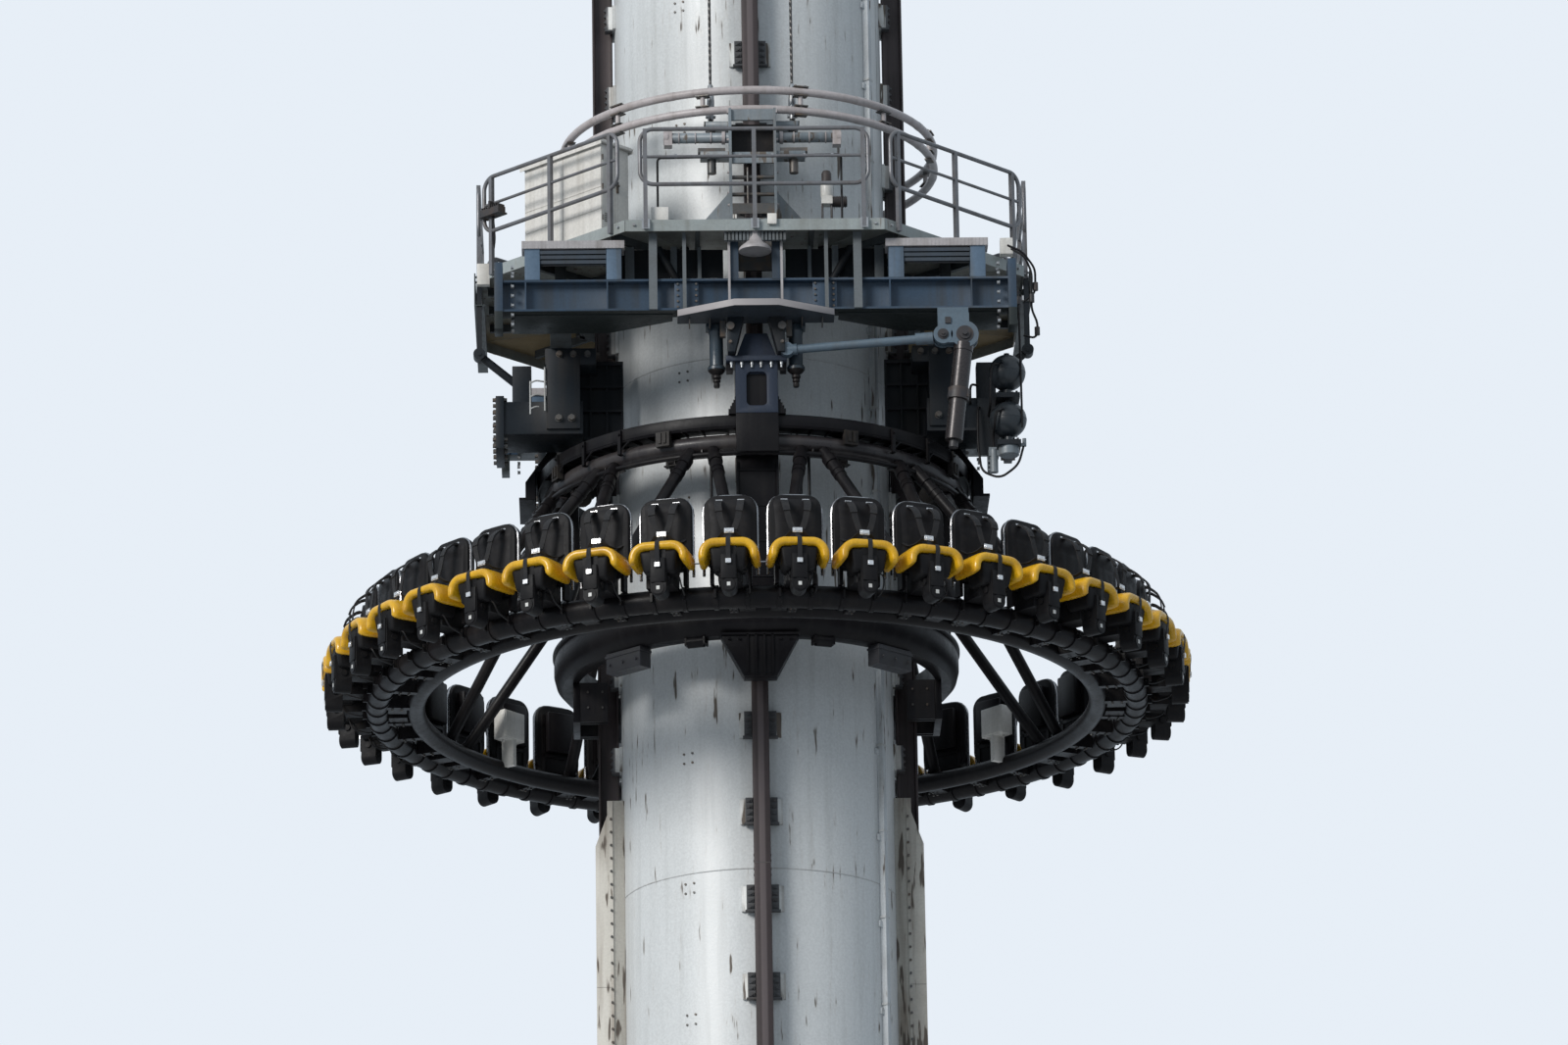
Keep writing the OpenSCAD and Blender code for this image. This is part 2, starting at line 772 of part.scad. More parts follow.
module main_beams() {
  color("#3c5069")
    for (s = [-1, 1]) {
      translate([0, s * main_y, main_z]) cross_beam(main_l);
      for (x = [-1, 1]) {
        translate([x * main_l / 2 - (x > 0 ? 0 : end_plate_t), s * main_y - main_w / 2 - 20,
            main_z - main_h / 2 - end_plate_h / 2])
          cube([end_plate_t, main_w + 40, end_plate_h]);
        for (p = [portal_x - portal_w / 2, portal_x + portal_w / 2 - portal_post])
          translate([x > 0 ? p : -p - portal_post, s * main_y - main_w / 2, main_z - main_h])
            cube([16, main_w, main_h]);
        translate([x * 750 - 130, s * main_y - main_w / 2 + 40, main_z - main_h + 10])
          cube([260, main_w - 80, main_h - 20]);
        scale([x, -s, 1]) cover_plate();
      }
    }
}

// Flat plate that closes the frame from below between a main beam and the shaft
module cover_plate() {
  x0 = visor_half + 50;
  x1 = main_l / 2 - end_plate_t - 5;
  z1 = main_z - main_h - roller_gap;
  translate([0, 0, z1 - cover_t]) linear_extrude(cover_t)
    polygon([[x0, -main_y], [x0, -main_y + cover_narrow], [cover_x, -cover_y], [x1, -cover_y],
      [x1, -main_y]]);
  block(x0 + 20, -main_y + 10, z1 - 1, x1 - x0 - 40, main_w / 2 - 20, roller_gap + 2);
}

module side_beams() {
  l = 2 * main_y - main_w;
  color("#34465c")
    for (s = [-1, 1]) {
      translate([s * side_beam_x, 0, main_z]) rotate([90, 0, 0]) translate([0, 0, -l / 2])
        linear_extrude(l) i_profile(main_w, main_h, main_flange, main_web);
      for (y = [-1.5, -0.5, 0.5, 1.5])
        block(s * side_beam_x - 60, y * 900 - 60, main_z, 120, 120, deck_z - deck_t - main_z);
    }
}

module lower_frame() {
  z = ring_z + low_beam_dz;
  top = main_z - main_h;
  color("#2a333d")
    for (s = [-1, 1])
      for (t = [-1, 1])
        scale([s, 1, 1]) translate([0, t * leg_y, 0]) {
          x_end = t < 0 ? low_beam_x : low_back_x;
          x_leg = leg_x - leg_w / 2;
          block(x_leg, -leg_d / 2, z + 50, leg_w, leg_d, top - z - 50);
          block(leg_x - leg_head_w * 0.65, -leg_d / 2 + 5, top - leg_head_h, leg_head_w,
            leg_d - 10, leg_head_h);
          block(x_leg - 30, -low_beam_w / 2, z, x_end - low_plate_t - x_leg + 31, low_beam_w,
            low_beam_h);
          block(x_end - low_plate_t, -low_beam_w / 2 - 30, z - (t < 0 ? low_plate_drop : 90),
            low_plate_t, low_beam_w + 60, low_plate_h - (t < 0 ? 0 : low_plate_drop - 90));
          if (t < 0)
            block(beam_post_x, -100, z + low_beam_h - 1, beam_post_w, 200, beam_post_h);
        }
}

module guide_towers() {
  color("#7d868c")
    for (s = [0, 180])
      at(s) {
        z0 = main_z - main_h;
        for (x = [-1, 1]) {
          block(x * tower_x - (x > 0 ? tower_t : 0), -tower_r - tower_depth, z0, tower_t,
            tower_depth, tower_z - z0);
          translate([x * tower_x, -tower_r - tower_depth / 2, 0]) rotate([90, 0, 0])
            translate([0, 0, -10]) linear_extrude(20)
              polygon([[0, deck_z], [x * 420, deck_z], [x * 420, deck_z + 60],
                [0, deck_z + 560]]);
          translate([x * (tower_x + cross_l / 2), -tower_r - 130, ring_z + cross_dz])
            rotate([0, 90, 0]) translate([0, 0, -cross_l / 2]) cylinder(h = cross_l, d = cross_d);
          block(x > 0 ? tower_x - 5 : -tower_x - 315, -tower_r - 260, ring_z + cross_dz - 260, 320, 200, 60);
          block(x > 0 ? tower_x - 5 : -rope_x - 60, -tower_r - 40, tower_z - 120,
            rope_x + 65 - tower_x, tower_r + 100 - rope_y, 60);
        }
        for (z = [ring_z + cross_dz - 340, ring_z + cross_dz + 160, deck_z + 90])
          block(-tower_x, -tower_r - tower_depth + 40, z, 2 * tower_x, 30, 130);
        block(-tower_x, -main_y + main_w / 2, z0, 2 * tower_x, 90, main_h);
      }
}

// A pair of side rollers and one face roller at a height on a rail
module roller_set(z, plate_r) {
  yf = -(rail_r + roller_gap + face_roller_d / 2);
  translate([-roller_w / 2, yf, z]) rotate([0, 90, 0]) cylinder(h = roller_w, d = face_roller_d);
  for (x = [-1, 1]) {
    translate([x * (roller_w / 2 + roller_gap) - (x > 0 ? 0 : roller_plate), -plate_r, z - 60])
      cube([roller_plate, plate_r + yf + 30, 120]);
    translate([x * (rail_w / 2 + roller_gap + side_roller_d / 2), -rail_r - 2,
        z + face_roller_d / 2 + side_roller_d / 2 + 20])
      rotate([-90, 0, 0]) cylinder(h = roller_w, d = side_roller_d);
    translate([x * (rail_w / 2 + side_roller_d / 2) - 25, -plate_r,
        z + face_roller_d / 2 + side_roller_d / 2 - 5])
      cube([50, plate_r - rail_r - 2 - roller_gap, 50]);
  }
}

module catch_rollers() {
  color("#26282c")
    for (a = [0:90:270])
      at(a) {
        pr = a % 180 == 0 ? tower_r : side_beam_x - main_w / 2;
        for (z = a % 180 == 0 ? [ring_z + roller_low_dz, ring_z + roller_high_dz]
            : [ring_z + roller_side_dz])
          roller_set(z, pr);
        if (a % 180 == 0)
          for (z = [ring_z + roller_low_dz, ring_z + roller_high_dz])
            block(-tower_x + tower_t, -tower_r - 40, z - 80, 2 * (tower_x - tower_t), 40, 420);
        else
          block(-200, -pr, ring_z + roller_side_dz - 100, 400, 20, 330);
      }
}

module portals() {
  color("#5a6e86")
    for (s = [-1, 1])
      for (t = [-1, 1])
        translate([s * portal_x, t * (main_y + 10), main_z]) {
          for (x = [-portal_w / 2, portal_w / 2 - portal_post])
            block(x, -105, 0, portal_post, 210, portal_h - portal_top);
          block(-portal_w / 2 - 30, -125, portal_h - portal_top, portal_w + 60, 250, portal_top);
          block(-portal_w / 2 + portal_post, 20, portal_h - portal_top - 130,
            portal_w - 2 * portal_post, 60, 130);
        }
}

module visors() {
  z = main_z - main_h - visor_t;
  color("#4b545f")
    for (a = [0, 180])
      at(a) translate([0, 0, z]) linear_extrude(visor_t)
        polygon([[-visor_half, -visor_back_r], [-visor_half, -visor_side_r],
          [-visor_nose, -visor_r], [visor_nose, -visor_r], [visor_half, -visor_side_r],
          [visor_half, -visor_back_r]]);
}

module hooks() {
  z1 = main_z - main_h - visor_t;
  z0 = head_top + head_flange_h + 10;
  color("#3a4552")
    for (a = [0, 180])
      at(a) for (x = [-1, 1]) {
        translate([0, -head_r + 60, 0]) rotate([90, 0, 0]) linear_extrude(220)
          polygon([[x * (tongue_w / 2 + 12), z0], [x * (tongue_w / 2 + 90), z0],
            [x * (tongue_w / 2 + 90), z1], [x * (tongue_top_w / 2 + 12), z1]]);
      }
}

module buffers() {
  z0 = ring_z + buffer_dz;
  color("#33404d")
    for (a = [0, 180])
      at(a)
        for (x = [-1, 1])
          translate([x * buffer_x, -2330, 0]) {
            translate([0, 0, z0 + 190]) cylinder(h = buffer_l, d = buffer_d);
            translate([0, 0, z0 + 60]) cylinder(h = 140, d = buffer_d * 0.75);
            translate([0, 0, z0]) cylinder(h = 70, d = buffer_d * 0.45);
            translate([0, 0, z0 + 190 + buffer_l - 20]) cylinder(h = 50, d = buffer_d + 50);
            block(-110, -50, z0 + 190 + buffer_l + 20, 220, 220,
              main_z - main_h - z0 - 210 - buffer_l);
          }
}

module release_linkage() {
  z = ring_z;
  color("#56646f") union() {
    bar([tongue_w / 2 + 100, -2520, z + 3290], [1990, -2700, z + 3360], rod_d);
    block(1900, -2760, z + 3230, 470, 60, 395);
    block(1900, -2640, z + 3230, 470, 60, 495);
    for (x = [2015, 2250])
      translate([x, -2790, z + 3380]) rotate([-90, 0, 0]) cylinder(h = 240, d = 130);
    bar([2250, -2670, z + 3380], [2105, -2720, z + 2180], arm_d);
    block(2050, -2790, z + 2650, 250, 200, 110);
    bar([2105, -2720, z + 2180], [2098, -2722, z + 2100], arm_d * 0.6);
  }
}

module accumulators() {
  y = -leg_y - low_beam_w / 2;
  yc = y - 35 - sphere_d / 2;
  yp = y - 35;
  xp = low_beam_x - low_plate_t - 5;
  z = ring_z + accumulator_dz;
  color("#3f4a55")
    union() {
      for (k = [0, 1])
        translate([sphere_x, yc, z - k * sphere_pitch]) {
          sphere(d = sphere_d);
          translate([0, 0, -sphere_d / 2 - 60]) cylinder(h = 90, d = 90);
          translate([-45, 0, -45]) cube([90, yp - yc, 90]);
          translate([-45, yp - yc - 1, -45]) cube([xp - sphere_x + 45, y - yp - 10, 90]);
        }
      for (k = [0, 1])
        translate([0, 0, z - k * sphere_pitch - sphere_d / 2 - 110]) {
          block(sphere_x - 130, yc - 130, 0, 260, yp - yc + 130, 55);
          block(sphere_x - 130, yp - 1, 0, xp - sphere_x + 130, y - yp + 1, 55);
        }
      block(sphere_x - 320, y - 25, z - sphere_pitch - sphere_d / 2 - 120, xp - sphere_x + 320, 25,
        650);
      block(xp - 60, y - 25, z - sphere_pitch - sphere_d / 2 + 529, 60, 25, 441);
    }
}

module side_skirts() {
  color("#22262b")
    for (s = [-1, 1])
      scale([s, 1, 1]) {
        block(deck_side + 60, -deck_side_half + 40, deck_z - 400, 14, 2 * deck_side_half - 80, 380);
        block(deck_side - 40, -deck_side_half + 40, deck_z - 400, 101, 2 * deck_side_half - 80, 14);
        for (y = [-deck_side_half / 2, deck_side_half / 2])
          block(deck_side + roller_gap, y - 30, deck_z - fascia_h, 65 - roller_gap, 60, 60);
      }
}

module lift_ropes() {
  color("#4a4c4e")
    for (x = [-1, 1])
      for (y = [-1, 1])
        translate([x * rope_x, y * rope_y, tower_z - 60])
          cylinder(h = rope_top - tower_z + 60, d = rope_d);
}

// Gondola carriage

// A column plate between the ring beam and the lower ring
module column_body(w, top) {
  intersection() {
    radial_box(w, column_in_r, beam_in_r + 20, low_ring_top, top);
    translate([0, 0, low_ring_top - 1]) cylinder(h = top, r = beam_in_r);
  }
}

module keel() {
  translate([0, -low_ring_in_r, keel_z]) rotate([90, 0, 0]) linear_extrude(keel_depth)
    polygon([[-keel_low_w / 2, 0], [keel_low_w / 2, 0], [keel_top_w / 2, keel_h],
      [-keel_top_w / 2, keel_h]]);
}

module main_column(a) {
  color("#141214") at(a) {
    column_body(column_w, head_top);
    keel();
  }
}

module side_column(a) {
  color("#141214") at(a) {
    column_body(side_column_w, ring_z + side_column_top);
    radial_box(side_column_w, column_in_r, side_plate_r, ring_z - side_column_low, low_ring_base);
  }
}

module column_heads() {
  w = column_w;
  z0 = beam_top;
  color("#2b333d")
    for (a = [0, 180])
      at(a) difference() {
        union() {
          difference() {
            radial_box(w, beam_in_r - 60, head_r, z0, head_top);
            translate([0, 0, z0 - 1]) cylinder(h = head_top, r = beam_in_r);
          }
          radial_box(head_flange_w, beam_in_r + 30, head_r + 60, head_top, head_top + head_flange_h);
          translate([0, -beam_in_r - 60, head_top + head_flange_h - 1]) rotate([90, 0, 0])
            linear_extrude(head_r - beam_in_r - 60)
              polygon([[-tongue_w / 2, 0], [tongue_w / 2, 0], [tongue_top_w / 2, tongue_h],
                [-tongue_top_w / 2, tongue_h]]);
        }
        translate([0, -head_r + 60, head_top - window_h - 110])
          round_plate(window_w, window_h, 50, 70);
      }
}

module column_aprons() {
  color("#171517")
    for (a = [0, 180])
      at(a) {
        radial_box(column_w, head_r - apron_t, head_r, ring_z + apron_z, beam_z);
        difference() {
          radial_box(column_w, beam_out_r - 5, head_r, beam_z, beam_top);
          translate([0, 0, beam_z - 1]) cylinder(h = beam_h + 2, r = beam_out_r);
        }
      }
}

module brake_magnets() {
  inner = fin_y - fin_t / 2 - fin_bar_t - cheek_gap - cheek_t;
  outer = fin_y + fin_t / 2 + cheek_gap;
  color("#1b1a1c")
    for (s = [-1, 1])
      for (y = [inner, outer, -inner - cheek_t, -outer - cheek_t])
        for (z = [[ring_z - side_column_low, low_ring_base], [low_ring_top, ring_z + 1500]])
          scale([s, 1, 1])
            block(cheek_r, y, z[0], column_in_r - cheek_r, cheek_t, z[1] - z[0]);
}

module ring_beam() {
  color("#161416") translate([0, 0, beam_z]) flat_ring(beam_out_r, beam_in_r, beam_h);
}

module wings() {
  color("#191718")
    for (s = [-1, 1])
      scale([s, 1, 1]) difference() {
        translate([0, wing_w / 2, ring_z]) rotate([90, 0, 0]) linear_extrude(wing_w)
          polygon([[2180, beam_dz + beam_h], [2390, beam_dz + beam_h], [2418, beam_dz + beam_h],
            [2418, beam_dz - 200], [2600, beam_dz - 200], [2600, beam_dz - 170],
            [2530, beam_dz - 170], [2530, beam_dz + 5], [2270, beam_dz + 375],
            [2180, beam_dz + 375]]);
        translate([0, 0, beam_z]) cylinder(h = beam_h, r = beam_out_r);
        translate([0, 0, beam_top - 1]) cylinder(h = 600, r = beam_in_r + 40);
      }
}

module lower_ring() {
  h = low_ring_h;
  color("#191718") translate([0, 0, low_ring_base]) rotate_extrude()
    polygon([[low_ring_in_r, 0], [low_ring_out_r - 90, 0], [low_ring_out_r - 25, h * 0.18],
      [low_ring_out_r, h * 0.42], [low_ring_out_r, h * 0.72], [low_ring_out_r - 20, h * 0.9],
      [low_ring_out_r + 15, h * 0.9], [low_ring_out_r + 15, h], [low_ring_in_r, h]]);
}

module guide_rollers() {
  color("#202124")
    for (a = [0:90:270])
      at(a) {
        for (z = a % 180 == 0 ? [ring_z + 760, ring_z + 2800] : [ring_z + 760, ring_z + 2500])
          roller_set(z, column_in_r);
      }
}

module bogies() {
  rc = beam_in_r + hanger_t + 3 + bogie_roller_d / 2;
  reach = track_d / 2 + roller_gap + bogie_roller_d / 2;
  drop = sqrt(reach * reach - (track_r - rc) * (track_r - rc));
  zc = track_z - drop;
  split = track_z - 90;
  color("#100f10")
    for (q = [0:3])
      for (s = [-1, 1])
        at(q * 90 + s * bogie_angle) {
          radial_box(170, beam_in_r, beam_in_r + hanger_t, split, beam_z);
          translate([-35, -rc, zc]) rotate([0, 90, 0]) cylinder(h = 70, d = bogie_roller_d);
          radial_box(170, beam_in_r, beam_in_r + hanger_t, zc - 60, split - roller_gap);
          radial_box(170, beam_in_r + hanger_t - 1, rc + 25, zc - 60, zc - 45);
          for (x = [-50, 35 + roller_gap])
            translate([x, -rc - 25, zc - 60])
              cube([15 - roller_gap, rc + 25 - beam_in_r - 2, 70]);
        }
}

// Turning ring of seats

module track_tube() {
  color("#1a181a") translate([0, 0, track_z]) rotate_extrude()
    translate([track_r, 0]) circle(d = track_d);
}

module ring_tubes() {
  color("#18171a") translate([0, 0, ring_z]) {
    rotate_extrude() translate([ring_out_r, 0]) circle(d = ring_out_d);
    rotate_extrude() translate([ring_in_r, 0]) circle(d = ring_in_d);
  }
}

module ring_clamps() {
  color("#121114") difference() {
    for (i = [0:seat_n - 1])
      if (abs(abs(((i + 0.5) * seat_step + strut_step / 2) % strut_step - strut_step / 2)
          - strut_spread) > 1.9)
      at((i + 0.5) * seat_step)
        radial_box(ring_clamp_w, ring_in_r, ring_out_r, ring_z - 70, ring_z + 70);
    translate([0, 0, ring_z]) rotate_extrude() translate([ring_out_r, 0]) circle(d = ring_out_d);
    translate([0, 0, ring_z]) rotate_extrude() translate([ring_in_r, 0]) circle(d = ring_in_d);
  }
}

module strut_foot() {
  radial_box(strut_d + 40, ring_in_r + ring_in_d / 2 + 1, ring_out_r - ring_out_d / 2 - 1.6, -60, 60);
}

module struts() {
  color("#161517")
    for (i = [0:strut_n - 1])
      for (s = [-1, 1]) {
        ft = i * strut_step + s * strut_spread;
        tp = (i + s * 0.5) * strut_step - s * strut_spread;
        foot = [strut_foot_r * sin(ft), -strut_foot_r * cos(ft), ring_z];
        top = [track_r * sin(tp), -track_r * cos(tp), track_z];
        seat = top + (foot - top) / norm(foot - top) * track_d * 0.612;
        union() {
          bar(foot, seat, strut_d);
          translate([0, 0, ring_z]) at(ft) strut_foot();
        }
      }
}

module each_seat() {
  for (i = [0:seat_n - 1])
    at((i + 0.5) * seat_step) children();
}

module seat_shells() {
  color("#0e0d0f")
    each_seat()
      translate([0, -shell_r, ring_z + shell_z]) round_plate(shell_w, shell_h, shell_corner, shell_t);
}

module saddle_shape() {
  w = saddle_w;
  c = saddle_corner;
  t = saddle_t;
  h = saddle_drop;
  intersection() {
    translate([-w, -h]) square([2 * w, h + 10]);
    difference() {
      union() {
        translate([-w / 2, -h - 20]) square([w, h - c + 20]);
        translate([-w / 2 + c, -c - 1]) square([w - 2 * c, c + 1]);
        for (s = [-1, 1])
          translate([s * (w / 2 - c), -c]) circle(r = c);
      }
      union() {
        translate([-w / 2 + t, -h - 200]) square([w - 2 * t, h - c + 200]);
        translate([-w / 2 + c, -h - 200]) square([w - 2 * c, h - t + 200]);
        for (s = [-1, 1])
          translate([s * (w / 2 - c), -c]) circle(r = c - t);
      }
    }
  }
}

module seat_saddles() {
  color("#d79b14")
    each_seat()
      translate([0, -saddle_r, ring_z + saddle_z]) rotate([90, 0, 0])
        linear_extrude(saddle_depth) saddle_shape();
}

module seat_posts() {
  top = ring_z + saddle_z - saddle_t - roller_gap;
  low = ring_z - post_drop;
  color("#131214") difference() {
    each_seat() {
      radial_box(post_w, post_r, post_r + post_depth, low + post_w / 2, top);
      translate([0, -post_r, low + post_w / 2]) rotate([90, 0, 0])
        cylinder(h = post_depth, d = post_w);
      radial_box(pedestal_w, shell_r + 20, post_r + 5, ring_z + 60, ring_z + shell_z);
      radial_box(pedestal_w, shell_r + shell_t, post_r + 5, ring_z + 60, top);
    }
    translate([0, 0, ring_z]) rotate_extrude() translate([ring_out_r, 0]) circle(d = ring_out_d);
  }
}

module harnesses() {
  y0 = -shell_r - shell_t;
  yb = y0 - strap_l * cos(30) + strap_t;
  z0 = ring_z + strap_z;
  z1 = z0 - (y0 - yb) * tan(30);
  z2 = z1 - strap_l;
  color("#0b0b0c")
    each_seat() {
      for (s = [-1, 1])
        translate([s * strap_x - strap_w / 2, 0, 0]) rotate([90, 0, 90])
          linear_extrude(strap_w)
            polygon([[y0, z0], [yb, z1], [yb, z2], [yb - strap_t, z2],
              [yb - strap_t, z1 + strap_t * tan(30)], [y0, z0 + strap_t / cos(30)]]);
      translate([-strap_x - strap_w, yb - 2 * strap_t, z2 - 70])
        cube([2 * strap_x + 2 * strap_w, 3 * strap_t, 80]);
      translate([-strap_w / 2, yb - strap_t, ring_z + saddle_z + 4])
        cube([strap_w, strap_t, z2 - 60 - ring_z - saddle_z]);
    }
}

module junction_boxes() {
  color("#a9acae")
    for (s = [-1, 1])
      at(s * jbox_angle) union() {
        radial_box(jbox_w, jbox_r - jbox_t, jbox_r, ring_z + jbox_dz, ring_z + jbox_dz + jbox_h);
        difference() {
          radial_box(60, jbox_r - jbox_t, jbox_r + 10, ring_z, ring_z + jbox_dz + 10);
          translate([0, 0, ring_z]) rotate_extrude() translate([ring_in_r, 0]) circle(d = ring_in_d);
        }
      }
}

base_flange();
shaft_section(0);  // shaft_1
shaft_section(1);  // shaft_2
shaft_section(2);  // shaft_3
shaft_section(3);  // shaft_4
shaft_section(4);  // shaft_5
shaft_section(5);  // shaft_6
head_frame();
rails();
rail_consoles();
brake_fins();
cable_duct();
catch_deck();
railing_front();
railing_back();
railing_side(-1);  // railing_left
railing_side(1);  // railing_right
cabinet();
tube_ring();
main_beams();
side_beams();
lower_frame();
guide_towers();
catch_rollers();
portals();
visors();
hooks();
buffers();
release_linkage();
accumulators();
side_skirts();
lift_ropes();
main_column(0);  // column_front
main_column(180);  // column_back
side_column(-90);  // column_left
side_column(90);  // column_right
column_heads();
column_aprons();
brake_magnets();
ring_beam();
wings();
lower_ring();
guide_rollers();
bogies();
track_tube();
ring_tubes();
ring_clamps();
struts();
seat_shells();
seat_saddles();
seat_posts();
harnesses();
junction_boxes();
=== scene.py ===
import bmesh
import bpy
import math
from mathutils import Matrix, Vector


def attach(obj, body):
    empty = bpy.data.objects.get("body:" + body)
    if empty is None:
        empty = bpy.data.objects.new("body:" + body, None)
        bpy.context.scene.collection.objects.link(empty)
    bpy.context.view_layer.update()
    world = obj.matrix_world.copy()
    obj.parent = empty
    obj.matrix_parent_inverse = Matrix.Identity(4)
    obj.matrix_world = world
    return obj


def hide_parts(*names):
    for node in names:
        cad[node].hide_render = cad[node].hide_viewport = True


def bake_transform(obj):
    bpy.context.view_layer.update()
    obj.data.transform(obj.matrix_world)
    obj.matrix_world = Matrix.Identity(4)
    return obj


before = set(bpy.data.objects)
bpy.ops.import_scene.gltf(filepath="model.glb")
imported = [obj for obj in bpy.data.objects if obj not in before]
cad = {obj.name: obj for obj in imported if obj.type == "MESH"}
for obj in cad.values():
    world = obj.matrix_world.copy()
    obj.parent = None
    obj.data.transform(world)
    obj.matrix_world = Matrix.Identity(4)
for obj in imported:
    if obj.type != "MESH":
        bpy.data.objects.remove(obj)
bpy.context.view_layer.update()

# Camera
# The ride is seen from far off on the ground with a long lens, looking up at the gondola and
# the catch car, and the shaft leans a little to the left.
reach = 85.0
look_up = math.radians(17.5)
look_across = math.radians(1.4)
sight = Vector((math.cos(look_up) * math.sin(look_across),
                math.cos(look_up) * math.cos(look_across), math.sin(look_up)))
aim = Vector((0.33, 0.0, 21.76))
lens = bpy.data.cameras.new("camera")
lens.lens = 2.07 * reach
lens.clip_end = 400.0
camera = bpy.data.objects.new("camera", lens)
camera.location = aim - sight * reach
lean = Matrix.Rotation(math.radians(-0.94), 3, "Z")
camera.rotation_euler = (sight.to_track_quat("-Z", "Y").to_matrix() @ lean).to_euler()
bpy.context.scene.collection.objects.link(camera)
bpy.context.scene.camera = camera

# Light and floor
# A soft lamp low on the left front, a very broad one overhead, an even pale sky all round and a
# pale round floor. The floor disc stays well inside the camera's line of sight.
scene = bpy.context.scene
scene.view_settings.view_transform = "Standard"
sun = bpy.data.lights.new("soft sun", "SUN")
sun.energy = 2.35
sun.angle = math.radians(22)
sun.color = (1.0, 0.975, 0.94)
lamp = bpy.data.objects.new("soft sun", sun)
lamp.rotation_euler = Vector((0.66, 0.72, -0.40)).to_track_quat("-Z", "Y").to_euler()
scene.collection.objects.link(lamp)
dome = bpy.data.lights.new("high cloud", "SUN")
dome.energy = 0.8
dome.angle = math.radians(150)
dome.color = (0.86, 0.93, 1.0)
cloud = bpy.data.objects.new("high cloud", dome)
cloud.rotation_euler = (0.0, 0.0, 0.0)
scene.collection.objects.link(cloud)
sky = bpy.data.worlds.new("pale sky")
sky.use_nodes = True
scene.world = sky
air = sky.node_tree
air.nodes.clear()
rays = air.nodes.new("ShaderNodeLightPath")
seen = air.nodes.new("ShaderNodeMath")
seen.operation = "MAXIMUM"
air.links.new(rays.outputs["Is Camera Ray"], seen.inputs[0])
air.links.new(rays.outputs["Is Transmission Ray"], seen.inputs[1])
gleam = air.nodes.new("ShaderNodeMath")
gleam.operation = "MULTIPLY_ADD"
gleam.inputs[1].default_value = 0.30
gleam.inputs[2].default_value = 0.30
air.links.new(rays.outputs["Is Glossy Ray"], gleam.inputs[0])
glow = air.nodes.new("ShaderNodeBackground")
glow.inputs["Color"].default_value = (0.76, 0.88, 1.0, 1)
air.links.new(gleam.outputs[0], glow.inputs["Strength"])
pale = air.nodes.new("ShaderNodeBackground")
pale.inputs["Color"].default_value = (0.80, 0.86, 0.93, 1)
pale.inputs["Strength"].default_value = 1.0
either = air.nodes.new("ShaderNodeMixShader")
air.links.new(seen.outputs[0], either.inputs[0])
air.links.new(glow.outputs[0], either.inputs[1])
air.links.new(pale.outputs[0], either.inputs[2])
sky_out = air.nodes.new("ShaderNodeOutputWorld")
air.links.new(either.outputs[0], sky_out.inputs["Surface"])
floor_bm = bmesh.new()
bmesh.ops.create_circle(floor_bm, cap_ends=True, segments=96, radius=36.0,
                        matrix=Matrix.Translation((0, 0, -0.004)))
floor_mesh = bpy.data.meshes.new("floor")
floor_bm.to_mesh(floor_mesh)
floor_bm.free()
floor = bpy.data.objects.new("floor", floor_mesh)
floor_paint = bpy.data.materials.new("floor")
floor_paint.use_nodes = True
floor_paint.node_tree.nodes["Principled BSDF"].inputs["Base Color"].default_value = (0.7, 0.7, 0.7, 1)
floor_paint.node_tree.nodes["Principled BSDF"].inputs["Roughness"].default_value = 0.9
floor_mesh.materials.append(floor_paint)
scene.collection.objects.link(floor)


# Shaft
# Six rolled and welded steel cans, 3 m across, painted light grey. Rain has drawn long soft
# streaks down the paint, and rust shows as short dark dabs where it is chipped.
def lay(tree, kind, inputs, **settings):
    made = tree.nodes.new("ShaderNode" + kind)
    for key, value in settings.items():
        setattr(made, key, value)
    for key, value in inputs.items():
        if isinstance(value, bpy.types.NodeSocket):
            tree.links.new(value, made.inputs[key])
        else:
            made.inputs[key].default_value = value
    return made


def new_group(name, inputs, outputs):
    tree = bpy.data.node_groups.new(name, "ShaderNodeTree")
    for key, kind in inputs.items():
        tree.interface.new_socket(name=key, in_out="INPUT", socket_type="NodeSocket" + kind)
    for key, kind in outputs.items():
        tree.interface.new_socket(name=key, in_out="OUTPUT", socket_type="NodeSocket" + kind)
    return tree, tree.nodes.new("NodeGroupInput").outputs, tree.nodes.new("NodeGroupOutput")


def mix_colour(tree, share, first, second):
    made = lay(tree, "Mix", {0: share, 6: first, 7: second}, data_type="RGBA")
    return made.outputs[2]


def between(tree, value, low, high, first, last):
    made = lay(tree, "MapRange", {0: value, 1: low, 2: high, 3: first, 4: last})
    return made.outputs[0]


def times(tree, first, second, how="MULTIPLY"):
    return lay(tree, "Math", {0: first, 1: second}, operation=how).outputs[0]


def surface_point(tree):
    return lay(tree, "TexCoord", {}).outputs["Object"]


